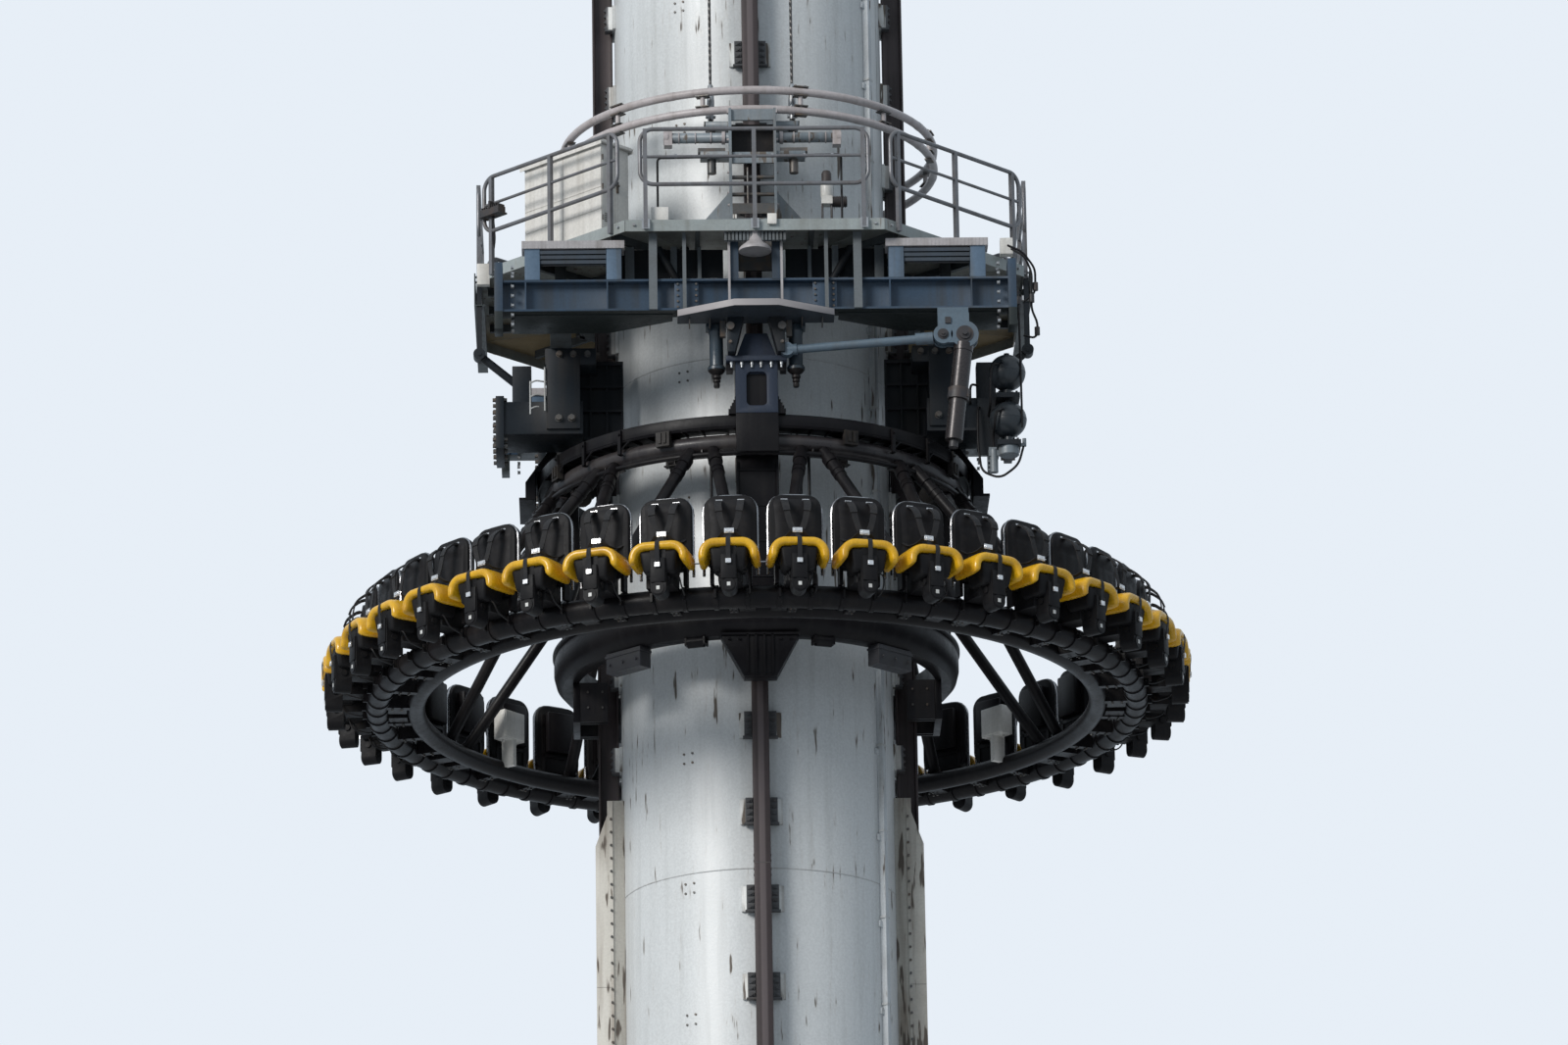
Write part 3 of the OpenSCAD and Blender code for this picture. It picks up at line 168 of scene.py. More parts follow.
weather, given, result = new_group(
    "weathered paint",
    {"Paint": "Color", "Soil": "Color", "Patch": "Float", "Soiling": "Float", "Streaks": "Float"},
    {"Colour": "Color", "Dullness": "Float", "Relief": "Float"})
spot = surface_point(weather)
broad = lay(weather, "TexNoise", {"Vector": spot, "Scale": given["Patch"], "Detail": 4.0}).outputs[0]
drawn = lay(weather, "Mapping", {"Vector": spot, "Scale": (1.0, 1.0, 0.05)}).outputs[0]
runs = lay(weather, "TexNoise", {"Vector": drawn, "Scale": 9.0, "Detail": 5.0}).outputs[0]
fine = lay(weather, "TexNoise", {"Vector": spot, "Scale": 38.0, "Detail": 3.0}).outputs[0]
clouded = times(weather, between(weather, broad, 0.46, 0.74, 0.0, 1.0), given["Soiling"])
streaked = times(weather, between(weather, runs, 0.50, 0.72, 0.0, 1.0), given["Streaks"])
soiled = lay(weather, "Math", {0: clouded, 1: streaked}, operation="ADD", use_clamp=True).outputs[0]
tone = mix_colour(weather, soiled, given["Paint"], given["Soil"])
speck = between(weather, fine, 0.3, 0.7, 0.92, 1.06)
tone = lay(weather, "VectorMath", {0: tone, "Scale": speck}, operation="SCALE").outputs[0]
weather.links.new(tone, result.inputs["Colour"])
dull = times(weather, soiled, 0.22)
dull = times(weather, dull, between(weather, fine, 0.3, 0.7, -0.04, 0.06), "ADD")
weather.links.new(dull, result.inputs["Dullness"])
weather.links.new(times(weather, fine, times(weather, broad, 0.8), "ADD"), result.inputs["Relief"])

rusting, given, result = new_group(
    "rust dabs",
    {"Paint": "Color", "Rust": "Color", "Density": "Float"},
    {"Colour": "Color", "Dabs": "Float"})
spot = surface_point(rusting)
drawn = lay(rusting, "Mapping", {"Vector": spot, "Scale": (1.0, 1.0, 0.13)}).outputs[0]
dabs = lay(rusting, "TexNoise", {"Vector": drawn, "Scale": 16.0, "Detail": 2.5}).outputs[0]
where = lay(rusting, "TexNoise", {"Vector": spot, "Scale": 0.8, "Detail": 2.0}).outputs[0]
reached = times(rusting, dabs, times(rusting, where, given["Density"]), "ADD")
core = between(rusting, reached, 0.86, 0.91, 0.0, 1.0)
wash = between(rusting, reached, 0.78, 0.92, 0.0, 0.22)
tone = mix_colour(rusting, wash, given["Paint"], (0.36, 0.30, 0.24, 1))
tone = mix_colour(rusting, core, tone, given["Rust"])
rusting.links.new(tone, result.inputs["Colour"])
rusting.links.new(core, result.inputs["Dabs"])


def painted(name, paint, soil, gloss=0.42, patch=1.4, soiling=0.4, streaks=0.35, metal=0.0,
            rust=0.0, grain=0.0015, shine=0.5):
    made = bpy.data.materials.new(name)
    made.use_nodes = True
    tree = made.node_tree
    skin = tree.nodes["Principled BSDF"]
    coat = lay(tree, "Group", {}, node_tree=weather)
    coat.inputs["Paint"].default_value = (*paint, 1)
    coat.inputs["Soil"].default_value = (*soil, 1)
    coat.inputs["Patch"].default_value = patch
    coat.inputs["Soiling"].default_value = soiling
    coat.inputs["Streaks"].default_value = streaks
    tone = coat.outputs["Colour"]
    rough = times(tree, coat.outputs["Dullness"], gloss, "ADD")
    if rust:
        marks = lay(tree, "Group", {}, node_tree=rusting)
        tree.links.new(tone, marks.inputs["Paint"])
        marks.inputs["Rust"].default_value = (0.115, 0.095, 0.078, 1)
        marks.inputs["Density"].default_value = rust
        tone = marks.outputs["Colour"]
        rough = times(tree, rough, times(tree, marks.outputs["Dabs"], 0.3), "ADD")
    tree.links.new(tone, skin.inputs["Base Color"])
    tree.links.new(rough, skin.inputs["Roughness"])
    skin.inputs["Metallic"].default_value = metal
    skin.inputs["Specular IOR Level"].default_value = shine
    bump = lay(tree, "Bump", {"Height": coat.outputs["Relief"], "Distance": grain, "Strength": 0.6})
    tree.links.new(bump.outputs[0], skin.inputs["Normal"])
    return made


def dress(material, *nodes):
    for name in nodes:
        mesh = cad[name].data
        mesh.materials.clear()
        mesh.materials.append(material)


shaft_grey = painted("shaft grey paint", (0.62, 0.64, 0.645), (0.36, 0.37, 0.36), 0.36, 0.6,
                     0.22, 0.26, rust=0.36)
dress(shaft_grey, "shaft_1", "shaft_2", "shaft_3", "shaft_4", "shaft_5", "shaft_6")


def turned(angle):
    return Matrix.Rotation(math.radians(angle), 4, "Z")


def piece(name, bm, material, body, *hides, edge=38):
    bmesh.ops.recalc_face_normals(bm, faces=bm.faces)
    mesh = bpy.data.meshes.new(name)
    bm.to_mesh(mesh)
    bm.free()
    mesh.shade_smooth()
    mesh.set_sharp_from_angle(angle=math.radians(edge))
    mesh.materials.append(material)
    made = bpy.data.objects.new(name, mesh)
    scene.collection.objects.link(made)
    if body:
        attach(made, body)
    if hides:
        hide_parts(*hides)
    return made


def rod(bm, start, end, radius, sides=12, place=Matrix(), tip=None):
    start = Vector(start)
    way = Vector(end) - start
    stand = way.to_track_quat("Z", "Y").to_matrix().to_4x4()
    return bmesh.ops.create_cone(
        bm, cap_ends=True, segments=sides, radius1=radius, radius2=radius if tip is None else tip,
        depth=way.length, matrix=place @ Matrix.Translation(start + way / 2) @ stand)["verts"]


def block(bm, low, high, place=Matrix()):
    low = Vector(low)
    size = Vector(high) - low
    return bmesh.ops.create_cube(
        bm, size=1.0,
        matrix=place @ Matrix.Translation(low + size / 2) @ Matrix.Diagonal((*size, 1)))["verts"]


def bar(bm, x, half, depth, levels, place=Matrix()):
    return block(bm, (x - half, depth[0], levels[0]), (x + half, depth[1], levels[1]), place)


def slab(bm, middle, half, levels, place=Matrix()):
    return block(bm, (middle[0] - half[0], middle[1] - half[1], levels[0]),
                 (middle[0] + half[0], middle[1] + half[1], levels[1]), place)


def edges_of(verts):
    return list({line for vert in verts for line in vert.link_edges})


def hoop(bm, radius, height, thick, steps=144, sides=8, first=0.0, sweep=360.0):
    start = turned(first) @ Vector((0, -radius, height))
    stand = turned(first) @ Matrix.Rotation(math.radians(90), 4, "Y")
    made = bmesh.ops.create_circle(bm, segments=sides, radius=thick,
                                   matrix=Matrix.Translation(start) @ stand)["verts"]
    loop = edges_of(made)
    full = abs(sweep) >= 360.0
    bmesh.ops.spin(bm, geom=made + loop, cent=(0, 0, 0), axis=(0, 0, 1), use_merge=full,
                   angle=math.radians(sweep), steps=steps)


def spun(bm, profile, place=Matrix(), steps=24):
    points = [bm.verts.new((0, -radius, height)) for radius, height in profile]
    lines = [bm.edges.new(pair) for pair in zip(points, points[1:])]
    before = set(bm.verts) - set(points)
    bmesh.ops.spin(bm, geom=points + lines, cent=(0, 0, 0), axis=(0, 0, 1), use_merge=True,
                   angle=math.tau, steps=steps)
    made = [vert for vert in bm.verts if vert not in before]
    bmesh.ops.remove_doubles(bm, verts=made, dist=0.00002)
    made = [vert for vert in bm.verts if vert not in before]
    bmesh.ops.transform(bm, matrix=place, verts=made)
    return made


def around(bm, count, share=1.0):
    bmesh.ops.spin(bm, geom=bm.verts[:] + bm.edges[:] + bm.faces[:], cent=(0, 0, 0), axis=(0, 0, 1),
                   angle=math.tau * share * (count - 1) / count, steps=count - 1, use_duplicate=True)


weld_grey = painted("weld seam", (0.50, 0.51, 0.51), (0.27, 0.26, 0.24), 0.5, 3.0, 0.5, 0.4)
can_height = 5.8
seams = bmesh.new()
for level in range(1, 6):
    hoop(seams, 1.5005, level * can_height, 0.007, steps=120, sides=6)
for level in range(12):
    block(seams, (-0.006, -1.5045, 0.3 + level * 2.9), (0.006, -1.4985, 3.0 + level * 2.9),
          turned((47 + level * 83) % 360))
piece("shaft_welds", seams, weld_grey, "tower")

steel_dark = painted("dark plated steel", (0.10, 0.098, 0.095), (0.17, 0.11, 0.07), 0.45, 9.0, 0.6,
                     0.3, metal=0.6)
studs = bmesh.new()
for level in range(23):
    for height in (1.238 + level * 1.45, 1.342 + level * 1.45):
        for side in (-33.2, -29.2, 146.8, 150.8):
            rod(studs, (0, -1.499, height), (0, -1.510, height), 0.014, 6, turned(side))
piece("shaft_studs", studs, steel_dark, "tower")


# Foot of the shaft
# A thick anchor flange with upright gussets all round, held down by twenty-four long bolts.
# It is a copy of the CAD part with its edges rounded, so that they catch the light.
def rounded(bm, edges, width, segments=1):
    bmesh.ops.bevel(bm, geom=edges, offset=width, offset_type="OFFSET", segments=segments,
                    profile=0.5, affect="EDGES", clamp_overlap=True, material=-1)


def softened(name, cad_node, material, body, width=0.006, segments=2, edge=38):
    bm = bmesh.new()
    bm.from_mesh(cad[cad_node].data)
    bmesh.ops.remove_doubles(bm, verts=bm.verts, dist=0.00005)
    bmesh.ops.dissolve_limit(bm, angle_limit=math.radians(0.6), verts=bm.verts, edges=bm.edges)
    sharp = [line for line in bm.edges
             if len(line.link_faces) == 2 and line.calc_face_angle(0) > math.radians(34)]
    rounded(bm, sharp, width, segments)
    return piece(name, bm, material, body, cad_node, edge=edge)


def hex_bolt(bm, start, way, size, place=Matrix(), washer=True):
    start = Vector(start)
    way = Vector(way).normalized()
    if washer:
        rod(bm, start, start + way * size * 0.14, size * 0.62, 10, place)
        start = start + way * size * 0.14
    rod(bm, start, start + way * size * 0.6, size * 0.5, 6, place)


softened("foot_flange", "base_flange", shaft_grey, "tower", 0.008)
anchors = bmesh.new()
for count in range(24):
    place = turned(count * 15) @ Matrix.Translation((0, -1.88, 0.0))
    rod(anchors, (0, 0, 0.001), (0, 0, 0.215), 0.024, 12, place)
    rod(anchors, (0, 0, 0.080), (0, 0, 0.092), 0.056, 16, place)
    rod(anchors, (0, 0, 0.092), (0, 0, 0.132), 0.044, 6, place)
    rod(anchors, (0, 0, 0.135), (0, 0, 0.165), 0.044, 6, place)
piece("anchor_nuts", anchors, steel_dark, "tower")


# Guide rails
# Four rolled steel rails stand round the shaft, brown with primer and old grease, and the
# rollers keep a paler track polished down the middle of each running face.
def off_axis(tree, spot):
    flat = lay(tree, "Mapping", {"Vector": spot, "Scale": (1.0, 1.0, 0.0)}).outputs[0]
    return lay(tree, "VectorMath", {0: flat}, operation="LENGTH").outputs["Value"]


def paint_over(tree, share, tone):
    base = tree.nodes["Principled BSDF"].inputs["Base Color"]
    tree.links.new(mix_colour(tree, share, base.links[0].from_socket, tone), base)


rail_brown = painted("rail brown", (0.040, 0.028, 0.028), (0.018, 0.013, 0.012), 0.42, 1.2, 0.7,
                     0.8, metal=0.25, grain=0.001)
tree = rail_brown.node_tree
spot = surface_point(tree)
across = lay(tree, "SeparateXYZ", {"Vector": spot}).outputs
near_x = times(tree, across[0], 0.0, "ABSOLUTE")
near_y = times(tree, across[1], 0.0, "ABSOLUTE")
offset = times(tree, near_x, near_y, "MINIMUM")
track = between(tree, offset, 0.024, 0.040, 1.0, 0.0)
track = times(tree, track, between(tree, off_axis(tree, spot), 1.744, 1.748, 0.0, 1.0))
paint_over(tree, times(tree, track, 0.75), (0.125, 0.102, 0.102, 1))
softened("rail_bars", "rails", rail_brown, "tower", 0.006, 2)
joints = bmesh.new()
for side in range(4):
    for level in range(1, 6):
        place = turned(side * 90) @ Matrix.Translation((0, 0, level * can_height))
        block(joints, (-0.0905, -1.7526, -0.003), (0.0905, -1.7275, 0.003), place)
        for hand in (-1, 1):
            low = hand * 0.046 - 0.036
            block(joints, (low, -1.700, -0.16), (low + 0.072, -1.570, 0.16), place)
            for step in (-0.11, -0.045, 0.045, 0.11):
                hex_bolt(joints, (hand * 0.080, -1.636, step), (hand, 0, 0), 0.028, place, False)
piece("rail_joints", joints, steel_dark, "tower")

# Rail consoles
# White lugs welded to the shaft carry the rail, and dark toothed clamps bolted through them
# grip its foot on both sides.
console_white = painted("console white", (0.60, 0.61, 0.60), (0.20, 0.17, 0.14), 0.45, 2.2, 0.5,
                        0.8, rust=0.5)
tree = console_white.node_tree
clamped = between(tree, off_axis(tree, surface_point(tree)), 1.575, 1.579, 0.0, 1.0)
paint_over(tree, clamped, (0.085, 0.085, 0.088, 1))
softened("console_lugs", "rail_consoles", console_white, "tower", 0.004, 1)
clamp_grey = painted("clamp grey", (0.060, 0.062, 0.066), (0.060, 0.045, 0.038), 0.5, 7.0, 0.55, 0.3)
clamp_dark = painted("clamp dark", (0.024, 0.022, 0.024), (0.075, 0.045, 0.03), 0.5, 7.0, 0.55, 0.3)
teeth = bmesh.new()
console_levels = [level * can_height / 6 - can_height / 12 for level in range(2, 36)]
for foot in console_levels:
    for hand in (-1, 1):
        bar(teeth, hand * 0.132, 0.058, (-1.606, -1.520), (foot - 0.016, foot))
        for step in range(4):
            height = foot + 0.035 + step * 0.07
            bar(teeth, hand * 0.134, 0.030, (-1.603, -1.588), (height - 0.019, height + 0.019))
            rod(teeth, (hand * 0.134, -1.600, height), (hand * 0.134, -1.618, height), 0.0135, 6)
around(teeth, 4)
piece("console_clamps", teeth, clamp_grey, "tower")

# Brake fins
# Pairs of long ivory plates stand on both sides of the shaft for the magnets to close on, each
# bolted to a welded bar in a row of dark bolts. The upper ends are cut off at a slant.
fin_ivory = painted("fin ivory", (0.52, 0.50, 0.45), (0.25, 0.21, 0.17), 0.48, 1.0, 0.5, 0.75,
                    rust=0.55)
softened("fin_plates", "brake_fins", fin_ivory, "tower", 0.003, 1)
fin_bolts = bmesh.new()
for count in range(122):
    height = 0.5 + count * 0.147
    for hand in (-1, 1):
        near = hand * 0.2815
        far = hand * 0.3095
        for side in (-1, 1):
            hex_bolt(fin_bolts, (side * 1.620, near, height), (0, -hand, 0), 0.026, washer=False)
            hex_bolt(fin_bolts, (side * 1.620, far, height), (0, hand, 0), 0.030, washer=False)
piece("fin_bolts", fin_bolts, steel_dark, "tower")
fin_seams = bmesh.new()
for side in (-1, 1):
    for hand in (-1, 1):
        for level in (4.4, 8.4, 12.4, 16.4):
            slab(fin_seams, (side * 1.70, hand * 0.3), (0.085, 0.0095), (level - 0.002, level + 0.002))
piece("fin_seams", fin_seams, clamp_dark, "tower")

# Cable duct
# A slim folded sheet duct climbs the shaft on small clips, with a lid held by short straps and
# a thinner pipe beside it.
duct_grey = painted("duct grey", (0.50, 0.53, 0.55), (0.24, 0.24, 0.23), 0.42, 2.0, 0.35, 0.6,
                    rust=0.45)
softened("duct_run", "cable_duct", duct_grey, "tower", 0.003, 1)
straps = bmesh.new()
rod(straps, (0.062, -1.517, 0.75), (0.062, -1.517, 34.6), 0.0125, 10, turned(60))
for height in console_levels:
    block(straps, (-0.046, -1.5725, height + 0.10), (0.046, -1.502, height + 0.125), turned(60))
    block(straps, (0.040, -1.536, height + 0.02), (0.084, -1.502, height + 0.045), turned(60))
piece("duct_straps", straps, weld_grey, "tower")

# Head
# A cap plate with two pairs of beams carries the covered rope sheaves. Their side covers are
# bolted on round the rim.
head_grey = painted("head grey", (0.25, 0.28, 0.31), (0.14, 0.13, 0.12), 0.42, 1.6, 0.5, 0.5)
softened("head_beams", "head_frame", head_grey, "tower", 0.006, 2)
head_bolts = bmesh.new()
for side in (-0.45, 0.45):
    for hand in (-1, 1):
        for face in (-1, 1):
            start = side + face * 0.12
            place = Matrix.Translation((start, hand * 1.46, 35.57))
            rod(head_bolts, (0, 0, 0), (face * 0.03, 0, 0), 0.10, 20, place)
            rod(head_bolts, (face * 0.02, 0, 0), (face * 0.05, 0, 0), 0.055, 8, place)
            for count in range(10):
                angle = math.tau * count / 10
                spoke = (0, 0.40 * math.cos(angle), 0.40 * math.sin(angle))
                hex_bolt(head_bolts, spoke, (face, 0, 0), 0.035, place)
for count in range(28):
    if count % 7 not in (0, 3, 4):
        hex_bolt(head_bolts, (0, -1.62, 34.851), (0, 0, 1), 0.04, turned(count * 360 / 28 + 6))
piece("head_bolts", head_bolts, steel_dark, "tower")


# Catch car deck
# Eight galvanised tread plates with a folded fascia stand on light joists round the shaft. The
# joints between them stay open by a few millimetres.
deck_grey = painted("deck grey", (0.30, 0.335, 0.335), (0.17, 0.17, 0.15), 0.45, 1.8, 0.55, 0.45,
                    metal=0.1, rust=0.35)
tree = deck_grey.node_tree
spot = surface_point(tree)
diamond = lay(tree, "TexVoronoi", {"Vector": spot, "Scale": 26.0}, feature="F1").outputs["Distance"]
tread = between(tree, diamond, 0.12, 0.30, 1.0, 0.0)
upward = lay(tree, "SeparateXYZ", {"Vector": lay(tree, "NewGeometry", {}).outputs["Normal"]}).outputs[2]
raised = times(tree, upward, tread)
skin = tree.nodes["Principled BSDF"]
under = skin.inputs["Normal"].links[0].from_socket
bump = lay(tree, "Bump", {"Height": raised, "Distance": 0.003, "Normal": under})
tree.links.new(bump.outputs[0], skin.inputs["Normal"])
rear = between(tree, lay(tree, "SeparateXYZ", {"Vector": spot}).outputs[1], 0.3, 0.9, 0.25, 1.0)
mottle = lay(tree, "TexNoise", {"Vector": spot, "Scale": 3.0, "Detail": 4.0}).outputs[0]
ochre = mix_colour(tree, mottle, (0.16, 0.12, 0.062, 1), (0.36, 0.27, 0.15, 1))
below = times(tree, between(tree, upward, -0.3, -0.6, 0.0, 1.0), rear)
paint_over(tree, below, ochre)
softened("deck_plates", "catch_deck", deck_grey, "catch_car", 0.003, 1)
under_dark = painted("underside dark", (0.070, 0.080, 0.085), (0.040, 0.036, 0.030), 0.5, 2.2, 0.6, 0.4)
ring_z = 19.63
deck_z = ring_z + 4.70
joists = bmesh.new()
for side in range(8):
    place = turned(side * 45)
    reach_in = 1.90 if side in (0, 4) else 1.86
    reach_out = 2.74 if side % 4 == 0 else 2.93 if side % 2 == 0 else 2.80
    for across in (-0.62, 0.0, 0.62):
        if side % 4 == 0 and across == 0.0:
            continue
        bar(joists, across, 0.025, (-reach_out, -reach_in), (deck_z - 0.105, deck_z - 0.0155), place)
    if side % 4:
        block(joists, (-0.86, -reach_in - 0.06, deck_z - 0.115), (0.86, -reach_in, deck_z - 0.0155), place)
piece("deck_joists", joists, under_dark, "catch_car")
zinc = painted("zinc plating", (0.34, 0.35, 0.36), (0.16, 0.14, 0.12), 0.36, 8.0, 0.5, 0.25, metal=0.75)
corners = [(-1.41, -2.8), (-3.0, -1.2), (-3.0, 1.2), (-1.41, 2.8),
           (1.41, 2.8), (3.0, 1.2), (3.0, -1.2), (1.41, -2.8)]
deck_bolts = bmesh.new()
for first, last in zip(corners, corners[1:] + corners[:1]):
    first = Vector((*first, 0))
    last = Vector((*last, 0))
    along = (last - first).normalized()
    out = Vector((-along.y, along.x, 0))
    out = out if out.dot(first) > 0 else -out
    for inset in (0.10, 0.24, (last - first).length - 0.24, (last - first).length - 0.10):
        start = first + along * inset + Vector((0, 0, deck_z - 0.06))
        hex_bolt(deck_bolts, start, out, 0.030)
piece("deck_bolts", deck_bolts, zinc, "catch_car")

# Railings
# Each panel is one closed loop of bent tube with a thin middle rod, welded to square posts that
# are bolted on the outside of the fascia.
railing_grey = painted("railing grey", (0.165, 0.165, 0.175), (0.10, 0.085, 0.075), 0.34, 6.0, 0.5, 0.5,
                       metal=0.35)
dress(railing_grey, "railing_front", "railing_back", "railing_left", "railing_right")
feet = bmesh.new()
posts = []
for hand in (-1, 1):
    for x in (-1.184, 0.0, 1.184):
        posts.append((x, hand * 2.823, 90 - hand * 90))
    for y in (-1.07, 0.0, 1.07):
        posts.append((hand * 3.023, y, 90 * hand))
for x, y, face in posts:
    place = Matrix.Translation((x, y, deck_z)) @ turned(face)
    for level in (-0.095, -0.035):
        hex_bolt(feet, (0, -0.023, level), (0, -1, 0), 0.026, place)
    block(feet, (-0.045, 0.0225, -0.118), (0.045, 0.0232, -0.005), place)
piece("railing_feet", feet, zinc, "catch_car")

# Cabinet
# The white switch cabinet on the left front is a folded sheet box with overlapping panels, a
# lipped lid, doors on the end with a lever lock, and cable glands below.
cabinet_white = painted("cabinet white", (0.72, 0.70, 0.66), (0.40, 0.37, 0.32), 0.34, 1.6, 0.25, 0.4)
edge_turn = math.degrees(math.atan2(1.6, 1.59))
inward = Vector((-math.sin(math.radians(edge_turn)), -math.cos(math.radians(edge_turn)), 0))
middle = Vector((-2.205, -2.0, 0)) - inward * 0.38
stand = Matrix.Translation((middle.x, middle.y, deck_z)) @ turned(-edge_turn)
shell = bmesh.new()
block(shell, (-0.592, -0.202, 0.062), (0.592, 0.202, 1.075), stand)
for panel in range(2):
    for tier in range(4):
        low = 0.07 + tier * 0.252
        left = -0.598 + panel * 0.600
        block(shell, (left, -0.210, low), (left + 0.594, -0.198, low + 0.245), stand)
        block(shell, (left, 0.198, low), (left + 0.594, 0.210, low + 0.245), stand)
        block(shell, (left, -0.210, low + 0.232), (left + 0.594, -0.2115, low + 0.245), stand)
for hand in (-1, 1):
    bar(shell, hand * 0.594, 0.005, (-0.195, -0.006), (0.075, 1.05), stand)
    bar(shell, hand * 0.594, 0.005, (0.006, 0.195), (0.075, 1.05), stand)
block(shell, (-0.638, -0.248, 1.080), (0.638, 0.248, 1.105), stand)
block(shell, (-0.625, -0.235, 1.105), (0.625, 0.235, 1.119), stand)
block(shell, (-0.638, -0.248, 1.052), (0.638, -0.242, 1.082), stand)
block(shell, (-0.638, 0.242, 1.052), (0.638, 0.248, 1.082), stand)
for hand in (-1, 1):
    bar(shell, hand * 0.480, 0.04, (-0.19, 0.19), (0.001, 0.063), stand)
rounded(shell, shell.edges[:], 0.0025)
piece("cabinet_panels", shell, cabinet_white, "catch_car", "cabinet")
locks = bmesh.new()
for hand in (-1, 1):
    for level in (0.22, 0.58, 0.92):
        rod(locks, (hand * 0.601, -0.188, level - 0.03), (hand * 0.601, -0.188, level + 0.03), 0.009, 10,
            stand)
    bar(locks, hand * 0.606, 0.006, (0.02, 0.05), (0.55, 0.68), stand)
    rod(locks, (hand * 0.600, 0.035, 0.63), (hand * 0.628, 0.035, 0.63), 0.012, 12, stand)
    bar(locks, hand * 0.625, 0.005, (-0.045, 0.045), (0.618, 0.640), stand)
    for slot in range(5):
        low = 0.18 + slot * 0.022
        bar(locks, hand * 0.6, 0.0035, (-0.16, -0.04), (low, low + 0.008), stand)
for x in (-0.3, -0.15, 0.0, 0.2):
    rod(locks, (x, 0.12, 0.0), (x, 0.12, 0.066), 0.018, 12, stand)
piece("cabinet_fittings", locks, steel_dark, "catch_car")

# Work lamp, boxes and conduit
# A floodlight with cooling ribs hangs from the left corner of the railing, and white junction
# boxes sit on the deck and its fascia. A conduit runs up two posts and along the front rod, and
# black hoses with round connectors are fixed to the right corner.
lamp_parts = bmesh.new()
place = Matrix.Translation((-2.86, -1.40, deck_z + 0.61)) @ turned(-45)
block(lamp_parts, (-0.14, -0.055, -0.035), (0.14, 0.055, 0.035), place)
for rib in range(9):
    bar(lamp_parts, -0.128 + rib * 0.032, 0.004, (-0.05, 0.05), (0.03, 0.062), place)
block(lamp_parts, (-0.155, -0.068, -0.052), (0.155, 0.068, -0.034), place)
block(lamp_parts, (-0.012, -0.062, 0.03), (0.012, 0.062, 0.115), place)
piece("work_lamp", lamp_parts, clamp_dark, "catch_car")
boxes = bmesh.new()
block(boxes, (0.135, -2.846, deck_z - 0.07), (0.235, -2.802, deck_z + 0.05))
block(boxes, (-1.125, -2.74, deck_z + 0.002), (-0.935, -2.62, deck_z + 0.17))
block(boxes, (-3.04, -1.30, deck_z - 0.20), (-2.90, -1.215, deck_z + 0.045))
block(boxes, (2.72, -1.60, deck_z + 0.002), (2.86, -1.48, deck_z + 0.19))
rounded(boxes, boxes.edges[:], 0.006, 2)
piece("terminal_boxes", boxes, cabinet_white, "catch_car")


def bent_pipe(name, routes, radius, material, body, bend=0.05, sides=4):
    curve = bpy.data.curves.new(name, "CURVE")
    curve.dimensions = "3D"
    curve.bevel_depth = radius
    curve.bevel_resolution = sides
    curve.use_fill_caps = True
    for route in routes:
        corners = [Vector(point) for point in route]
        bends = [corners[0]]
        for before, corner, after in zip(corners, corners[1:], corners[2:]):
            start = corner + (before - corner).normalized() * min(bend, (before - corner).length * 0.45)
            end = corner + (after - corner).normalized() * min(bend, (after - corner).length * 0.45)
            for step in range(6):
                share = step / 5
                bends.append(start.lerp(corner, share).lerp(corner.lerp(end, share), share))
        bends.append(corners[-1])
        line = curve.splines.new("POLY")
        line.points.add(len(bends) - 1)
        for point, bent in zip(line.points, bends):
            point.co = (*bent, 1)
    draft = bpy.data.objects.new(name + "_route", curve)
    scene.collection.objects.link(draft)
    bpy.context.view_layer.update()
    mesh = bpy.data.meshes.new_from_object(draft.evaluated_get(bpy.context.evaluated_depsgraph_get()))
    bpy.data.objects.remove(draft)
    bm = bmesh.new()
    bm.from_mesh(mesh)
    bpy.data.meshes.remove(mesh)
    return piece(name, bm, material, body)


hose_black = painted("hose rubber", (0.014, 0.0135, 0.015), (0.040, 0.036, 0.032), 0.42, 6.0, 0.4, 0.2,
                     shine=0.15)
hose_radius = 0.0125
bent_pipe("railing_conduit", [
    [(-1.05, -2.70, deck_z - 0.1), (-1.05, -2.70, deck_z + 0.745), (0.95, -2.785, deck_z + 0.745),
     (0.95, -2.70, deck_z + 0.62), (0.95, -2.70, deck_z - 0.1)],
    [(-2.86, -1.40, deck_z + 0.58), (-2.84, -1.38, deck_z + 0.30), (-2.88, -1.30, deck_z + 0.02)]],
    hose_radius, hose_black, "catch_car")
bent_pipe("corner_hoses", [
    [(2.80, -1.60, deck_z + 0.10), (2.96, -1.62, deck_z + 0.02), (3.10, -1.56, deck_z - 0.16),
     (3.10, -1.50, deck_z - 0.42), (2.98, -1.50, deck_z - 0.52)],
    [(2.84, -1.60, deck_z + 0.06), (2.98, -1.64, deck_z - 0.04), (3.06, -1.60, deck_z - 0.22),
     (3.05, -1.52, deck_z - 0.62), (3.12, -1.50, deck_z - 0.78), (3.10, -1.46, deck_z - 0.94),
     (2.96, -1.46, deck_z - 0.90)],
    [(2.90, -1.66, deck_z - 0.46), (2.90, -1.72, deck_z - 0.72), (2.905, -1.72, deck_z - 2.05)]],
    hose_radius, hose_black, "catch_car", 0.07)
connectors = bmesh.new()
for x, y, level in ((3.10, -1.53, -0.36), (3.055, -1.54, -0.50), (3.11, -1.48, -0.86),
                    (2.90, -1.69, -0.58)):
    rod(connectors, (x, y, deck_z + level - 0.045), (x, y, deck_z + level + 0.045), 0.030, 14)
piece("hose_connectors", connectors, clamp_dark, "catch_car")
clips = bmesh.new()
